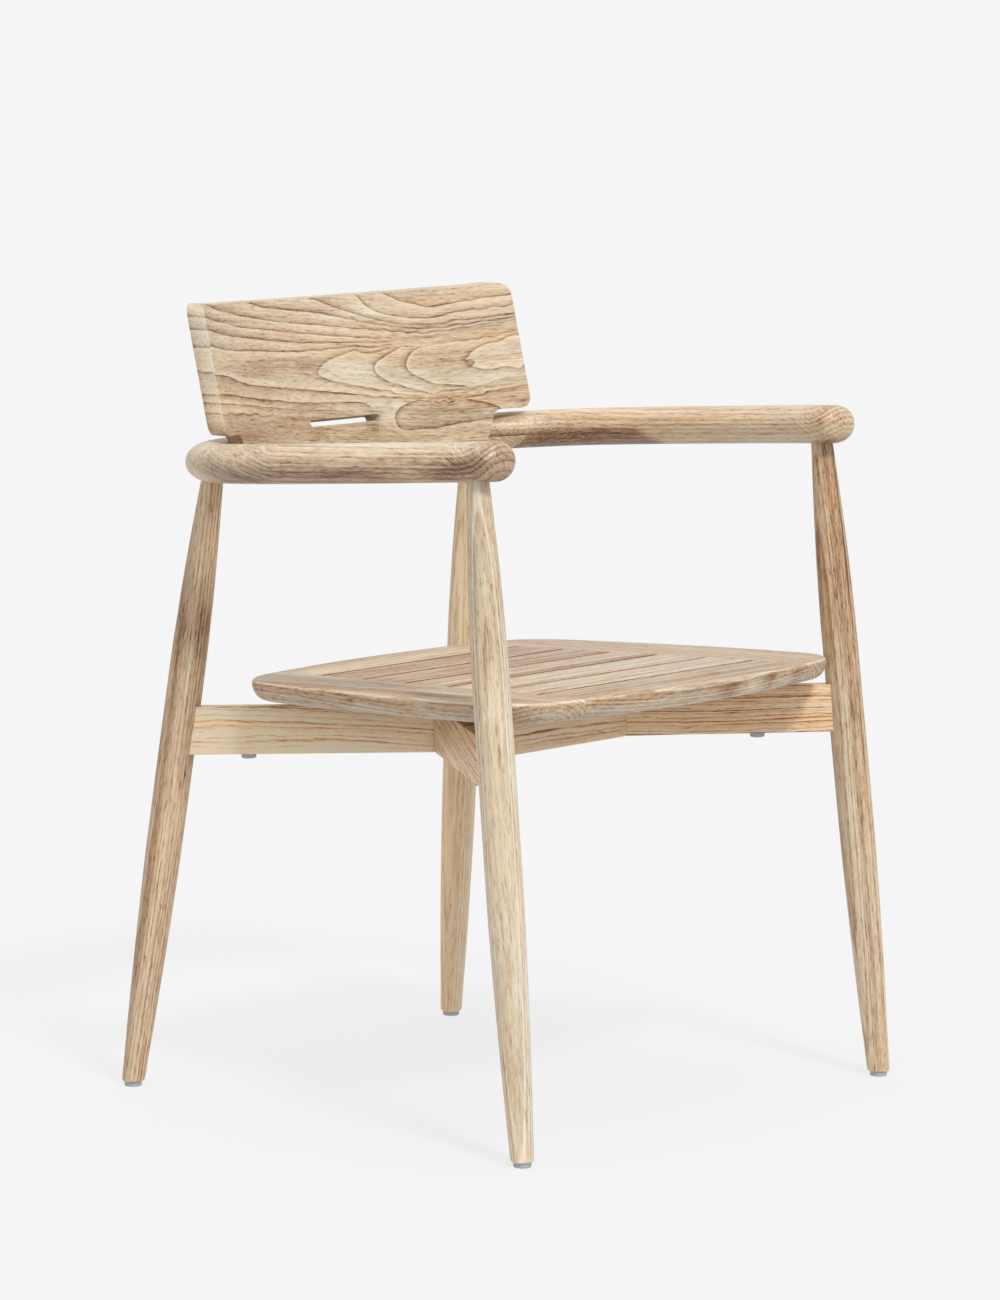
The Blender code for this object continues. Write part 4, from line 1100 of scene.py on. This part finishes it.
def seat_tone(base, edge, arris_highlight, patches=None):
    """Painted shade on the walls inside the slots and gaps, a painted highlight along the rounded top edge, and an
    edge tone of its own.
    """
    front_edge, rear_edge = slot_y(SLOT_COUNT - 1) - SLOT_WIDTH, slot_y(0) + SLOT_WIDTH

    def tone(p):
        q = SEAT_INVERSE @ p
        depth = -q.z
        in_slots = abs(q.x) < inner_x(q.y) + 0.001 and front_edge < q.y < rear_edge
        if in_slots:
            # Painted shade on the slot walls, begun right at the top edges, and lighter painted shade on the other gap
            # walls
            at_slot = min(abs(q.y - slot_y(index)) for index in range(SLOT_COUNT)) < SLOT_WIDTH / 2 + 0.001
            return base + (1.15 if at_slot else 0.30) * ease(depth, 0.00002, 0.00025)
        # Painted highlight along the rounded top edge
        value = base - arris_highlight * ease(depth, 0.0001, 0.0006) * (1 - ease(depth, 0.0008, 0.0024))
        value += edge * ease(depth, 0.0060, 0.0130) + 0.16 * ease(depth, 0.0010, 0.0040)
        return value + (patches(q) * ease(depth, 0.0020, 0.0050) if patches else 0.0)

    return tone


def seat_piece(obj, cutters, node, grain, tone):
    soften(obj, 0.0005, 2, 40)
    piece(baked(obj, *cutters), node, "seat_teak", WOODS["seat"], grain, tone)


def make_seat():
    far = 0.40
    for side_name, side in SIDES:
        rail = seat_blank("side")
        outline = [(inner_x(-far), -far), (far, -far), (far, far), (inner_x(far), far)]
        if side < 0:
            outline = [(-x, y) for x, y in reversed(outline)]
        keep = prism("keep", outline, -0.05, 0.05, SEAT_FRAME)
        boolean(rail, keep, "INTERSECT")
        middle = -SEAT_THICKNESS / 2
        groove = prism("groove", strip(-0.245, 0.150, 0.010), middle - 0.0033, middle + 0.0033, SEAT_FRAME)
        boolean(rail, groove, "DIFFERENCE")
        along = (0.03 * side, 1, -0.028)
        grain = log_frame((0.20 * side, -0.05, 0.41), along, (side, 0, 0), (-0.022, 0.040), side * 1.3)
        seat_piece(rail, (keep, groove), "seat_side_rail_" + side_name, grain, seat_tone(0.08, -0.32, 0.66))

    front_edge = slot_y(SLOT_COUNT - 1) - SLOT_WIDTH / 2
    rear_edge = slot_y(0) + SLOT_WIDTH / 2
    for node, low_y, high_y, mid_y in (
        ("seat_front_rail", -far, front_edge, -0.235),
        ("seat_rear_rail", rear_edge, far, 0.135),
    ):
        rail = seat_blank("end")
        keep = prism("keep", strip(low_y, high_y, -GAP), -0.05, 0.05, SEAT_FRAME)
        boolean(rail, keep, "INTERSECT")
        grain = log_frame((0, mid_y, 0.41), (1, 0.02, 0), (0, 1, 0), (0.006, 0.048), mid_y * 9)
        seat_piece(rail, (keep,), node, grain, seat_tone(0.12, -0.42, 0.34, front_patches))

    for index in range(SLOT_COUNT - 1):
        high_y = slot_y(index) - SLOT_WIDTH / 2
        low_y = slot_y(index + 1) + SLOT_WIDTH / 2
        slat = prism("slat", strip(low_y, high_y, -GAP), -SEAT_THICKNESS, 0.0, SEAT_FRAME)
        pith = (0.030 + 0.013 * ((index * 3) % 5), 0.050 + 0.011 * ((index * 2) % 5))
        grain = log_frame((0, (low_y + high_y) / 2, 0.41), (1, 0.015 * (index - 2), 0), (0, 1, 0), pith, index * 0.9)
        seat_piece(slat, (), f"seat_slat_{index + 1}", grain, seat_tone(SLAT_TONES[index], 0.0, 0.0))


def front_patches(q):
    """Brown and pale patches along the edge of the seat's front rail."""
    patches = 0.50 * gauss(q.x, 0.030, 0.016) + 0.40 * gauss(q.x, 0.098, 0.010) + 0.30 * gauss(q.x, 0.150, 0.012)
    return patches - 0.22 * gauss(q.x, 0.065, 0.016) - 0.25 * gauss(q.x, 0.122, 0.012) - 0.1 * gauss(q.x, -0.06, 0.05)


# ---------------------------------------------------------------- underframe and battens


def x_at(point, along, y):
    return point.x + along.x * (y - point.y) / along.y


def frame_arm_tone(row, side):
    """The rear arms are pale towards the legs; the front ones are brown, most of all the near one."""

    def tone(p):
        if row == "rear":
            return 0.26 * ease(p.x * side, 0.22, 0.10) - 0.13
        if side < 0:
            return 0.58
        return 0.42 + 0.36 * gauss(p.x, 0.095, 0.045)

    return tone


def make_frame_arm(row, side_name, foot, top):
    vertex, leg_point, along, normal = frame_lines(foot, top)
    half = FRAME_THICKNESS / 2
    mitre_y = vertex.y + math.copysign(GAP / 2, along.y)
    ends = []
    for offset in (half, -half):
        start = vertex + normal * offset
        ends.append((x_at(start, along, mitre_y), mitre_y))
    into_leg = leg_point - along * 0.004
    outline = ends + [tuple(into_leg - normal * half), tuple(into_leg + normal * half)]
    tall = FRAME_HEIGHT / 2
    arm = prism("arm", outline, -tall, tall, UNDER_FRAME)
    soften(arm, 0.0011, 3)
    node = f"underframe_arm_{row}_{side_name}"
    middle = (vertex + leg_point) / 2
    seed = len(row) * 0.37 + foot.x
    fall = -0.12 if row == "front" and foot.x < 0 else 0.03
    fibres, across = (along.x, along.y, fall), (normal.x, normal.y, 0.55)
    grain = log_frame((middle.x, middle.y, 0.368), fibres, across, (0.060, 0.022 + 0.02 * seed), seed * 5)
    tone = frame_arm_tone(row, math.copysign(1, foot.x))
    piece(baked(arm), node, "frame_teak", WOODS["frame"], grain, tone, None, lambda p: (0.0100, 0.8))


def make_cross_rail(row, foot, top):
    y = CROSS_RAIL_Y[row]
    vertex, _, along, normal = frame_lines(foot, top)
    inward = normal if normal.x < 0 else -normal
    half, tall = FRAME_THICKNESS / 2, FRAME_HEIGHT / 2
    face = vertex + inward * half
    low_x, high_x = x_at(face, along, y - half) - GAP, x_at(face, along, y + half) - GAP
    outline = [(-low_x, y - half), (low_x, y - half), (high_x, y + half), (-high_x, y + half)]
    rail = prism("rail", outline, -tall, tall, UNDER_FRAME)
    recesses = []
    profile = [(SEAT_SCREW_HEAD_RADIUS, -0.02), (SEAT_SCREW_HEAD_RADIUS, SEAT_SCREW_RECESS + 0.003)]
    for _, side in SIDES:
        matrix = UNDER_FRAME @ Matrix.Translation((BATTEN_X * side, y, -tall))
        recesses.append(lathe("recess", profile, 40, matrix))
        boolean(rail, recesses[-1], "DIFFERENCE")
    soften(rail, 0.0009, 3)
    grain = log_frame((0, y, 0.368), (1, 0.01, 0.008), (0, 1, 0.4), (0.050, 0.030), y * 21)
    mesh = baked(rail, *recesses)
    piece(mesh, f"underframe_{row}_rail", "frame_teak", WOODS["frame"], grain, lambda p: -0.02)


def make_batten(side_name, side):
    low = (BATTEN_X * side - BATTEN_WIDTH / 2, BATTEN_FRONT_Y, -(SEAT_TOP - FRAME_TOP) + GAP)
    high = (BATTEN_X * side + BATTEN_WIDTH / 2, BATTEN_REAR_Y, -SEAT_THICKNESS - GAP)
    batten = box("batten", low, high, SEAT_FRAME)
    soften(batten, 0.0009, 3)
    grain = log_frame((BATTEN_X * side, 0, 0.40), (0.01, 1, -0.028), (1, 0, 0.3), (0.030, 0.045), side * 2.2)
    piece(baked(batten), "seat_batten_" + side_name, "frame_teak", WOODS["frame"], grain, lambda p: 0.08)


# ---------------------------------------------------------------- assembly


def leg_tone(row, side):
    """Heartwood and sapwood along a leg: each of the four is cut from another plank; the rear right one is also
    painted paler, painted light on a leg in the seat's shade.
    """

    def tone(p):
        if row == "rear" and side < 0:
            brown = 0.42 * gauss(p.z, 0.468, 0.030) + 0.24 * gauss(p.z, 0.335, 0.045)
            return 0.17 - 0.12 * gauss(p.z, 0.540, 0.040) - 0.08 * ease(p.z, 0.55, 0.60) + brown
        if row == "front" and side < 0:
            return -0.16 + 0.26 * ease(p.z, 0.40, 0.55)
        # Rear right leg: paler wood and painted light for the seat's shade; paler again low down and near the top
        if row == "rear":
            return -0.30 - 0.26 * ease(-p.z, -0.38, -0.20) - 0.20 * ease(p.z, 0.40, 0.50)
        return -0.02 + 0.26 * ease(p.z, 0.16, 0.36) + 0.26 * ease(p.z, 0.40, 0.52)

    return tone


def build():
    corners = (("front", FRONT_FOOT, FRONT_TOP), ("rear", REAR_FOOT, REAR_TOP))
    piths = {
        ("front", -1): (0.060, 0.042),
        ("front", 1): (0.085, -0.020),
        ("rear", -1): (-0.058, 0.036),
        ("rear", 1): (0.070, 0.012),
    }
    for row, foot, top in corners:
        for side_name, side in SIDES:
            ends = [Vector((p.x * side, p.y, p.z)) for p in (foot, top)]
            make_leg(row, side_name, *ends, piths[row, side], leg_tone(row, side))
            make_glide(row, side_name, *ends)
            make_bumper(row, side_name, *ends)
            make_frame_arm(row, side_name, *ends)
        make_cross_rail(row, foot, top)
    for side_name, side in SIDES:
        make_batten(side_name, side)
    make_rails()
    make_backrest()
    make_seat()


build()

# CAD nodes that are kept: the screws in their recesses, and the sealed tongues
for node_name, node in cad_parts.items():
    kept = STEEL if "screw" in node_name else WOODS["frame"] if "tongue" in node_name else None
    if kept:
        node.data.materials.clear()
        node.data.materials.append(kept)

# ---------------------------------------------------------------- floor, light, camera


# The floor is a lit table: its own glow keeps the shadows as faint as in a product photograph
FLOOR_REACH = 400.0
FLOOR_GREY = 0.090
FLOOR_GLOW = 0.769
SKY_LOW = 0.76
SKY_HIGH = 0.92
SOFTBOX = 3.5
KEY_LIGHT = 2.25
KEY_ANGLE = math.radians(11)
KEY_TRAVEL = Vector((0.36, 0.86, -1.05))

AZIMUTH = math.radians(-49.704)
ELEVATION = math.radians(7.2607)
DISTANCE = 5.6383
AIM = Vector((0, 0, 0.36))
MOVE_RIGHT = 0.0041
MOVE_UP = 0.0796
LENS = 156.04
SENSOR_WIDTH = 36.0


def make_floor():
    """A wide plain floor, far larger than the view."""
    bm = bmesh.new()
    corners = ((-1, -1), (1, -1), (1, 1), (-1, 1))
    bm.faces.new([bm.verts.new((x * FLOOR_REACH, y * FLOOR_REACH, 0)) for x, y in corners])
    floor = mesh_object("studio_floor", bm)
    material = bpy.data.materials.new("studio_floor")
    t = Tree(material)
    mottle = t.noise(t.coordinates("Object"), (1.5, 1.5, 1.5), 2.0)
    t.put(t.shader.inputs["Base Color"], t.ramp(mottle, ((0.0, FLOOR_GREY), (1.0, FLOOR_GREY + 0.001))))
    t.settle(Roughness=1.0, Specular_IOR_Level=0.0, Emission_Color=(1.0, 1.0, 1.0, 1.0), Emission_Strength=FLOOR_GLOW)
    material.cycles.emission_sampling = "NONE"
    floor.data.materials.append(material)


def make_sky():
    """A soft tent of light, brighter overhead, with a softbox at its top."""
    world = bpy.data.worlds.new("studio")
    t = Tree(world, "Background")
    height = t.axes(t.coordinates("Generated"))["Z"]
    tent = t.spread(height, 0.0, 0.95, SKY_LOW, SKY_HIGH, smooth=True)
    softbox = t.spread(height, 0.955, 0.985, 0.0, SOFTBOX, smooth=True)
    t.put(t.shader.inputs["Strength"], t.add(tent, softbox))
    t.settle(Color=(1.0, 1.0, 1.0, 1.0))
    bpy.context.scene.world = world


def make_key():
    key = bpy.data.objects.new("key_light", bpy.data.lights.new("key_light", "SUN"))
    key.data.energy = KEY_LIGHT
    key.data.angle = KEY_ANGLE
    key.rotation_mode = "QUATERNION"
    key.rotation_quaternion = KEY_TRAVEL.to_track_quat("-Z", "Y")
    bpy.context.scene.collection.objects.link(key)


def make_camera():
    level = math.cos(ELEVATION)
    back = Vector((math.sin(AZIMUTH) * level, -math.cos(AZIMUTH) * level, math.sin(ELEVATION)))
    right = Vector((math.cos(AZIMUTH), math.sin(AZIMUTH), 0.0))
    up = back.cross(right)
    place = AIM + back * DISTANCE + right * MOVE_RIGHT + up * MOVE_UP
    camera = bpy.data.objects.new("camera", bpy.data.cameras.new("camera"))
    camera.matrix_world = Matrix.Translation(place) @ Matrix((right, up, back)).transposed().to_4x4()
    camera.data.sensor_width = SENSOR_WIDTH
    camera.data.lens = LENS
    camera.data.clip_end = 2000.0
    bpy.context.scene.collection.objects.link(camera)
    bpy.context.scene.camera = camera


bpy.context.scene.view_settings.view_transform = "Standard"
make_sky()
make_floor()
make_key()
make_camera()
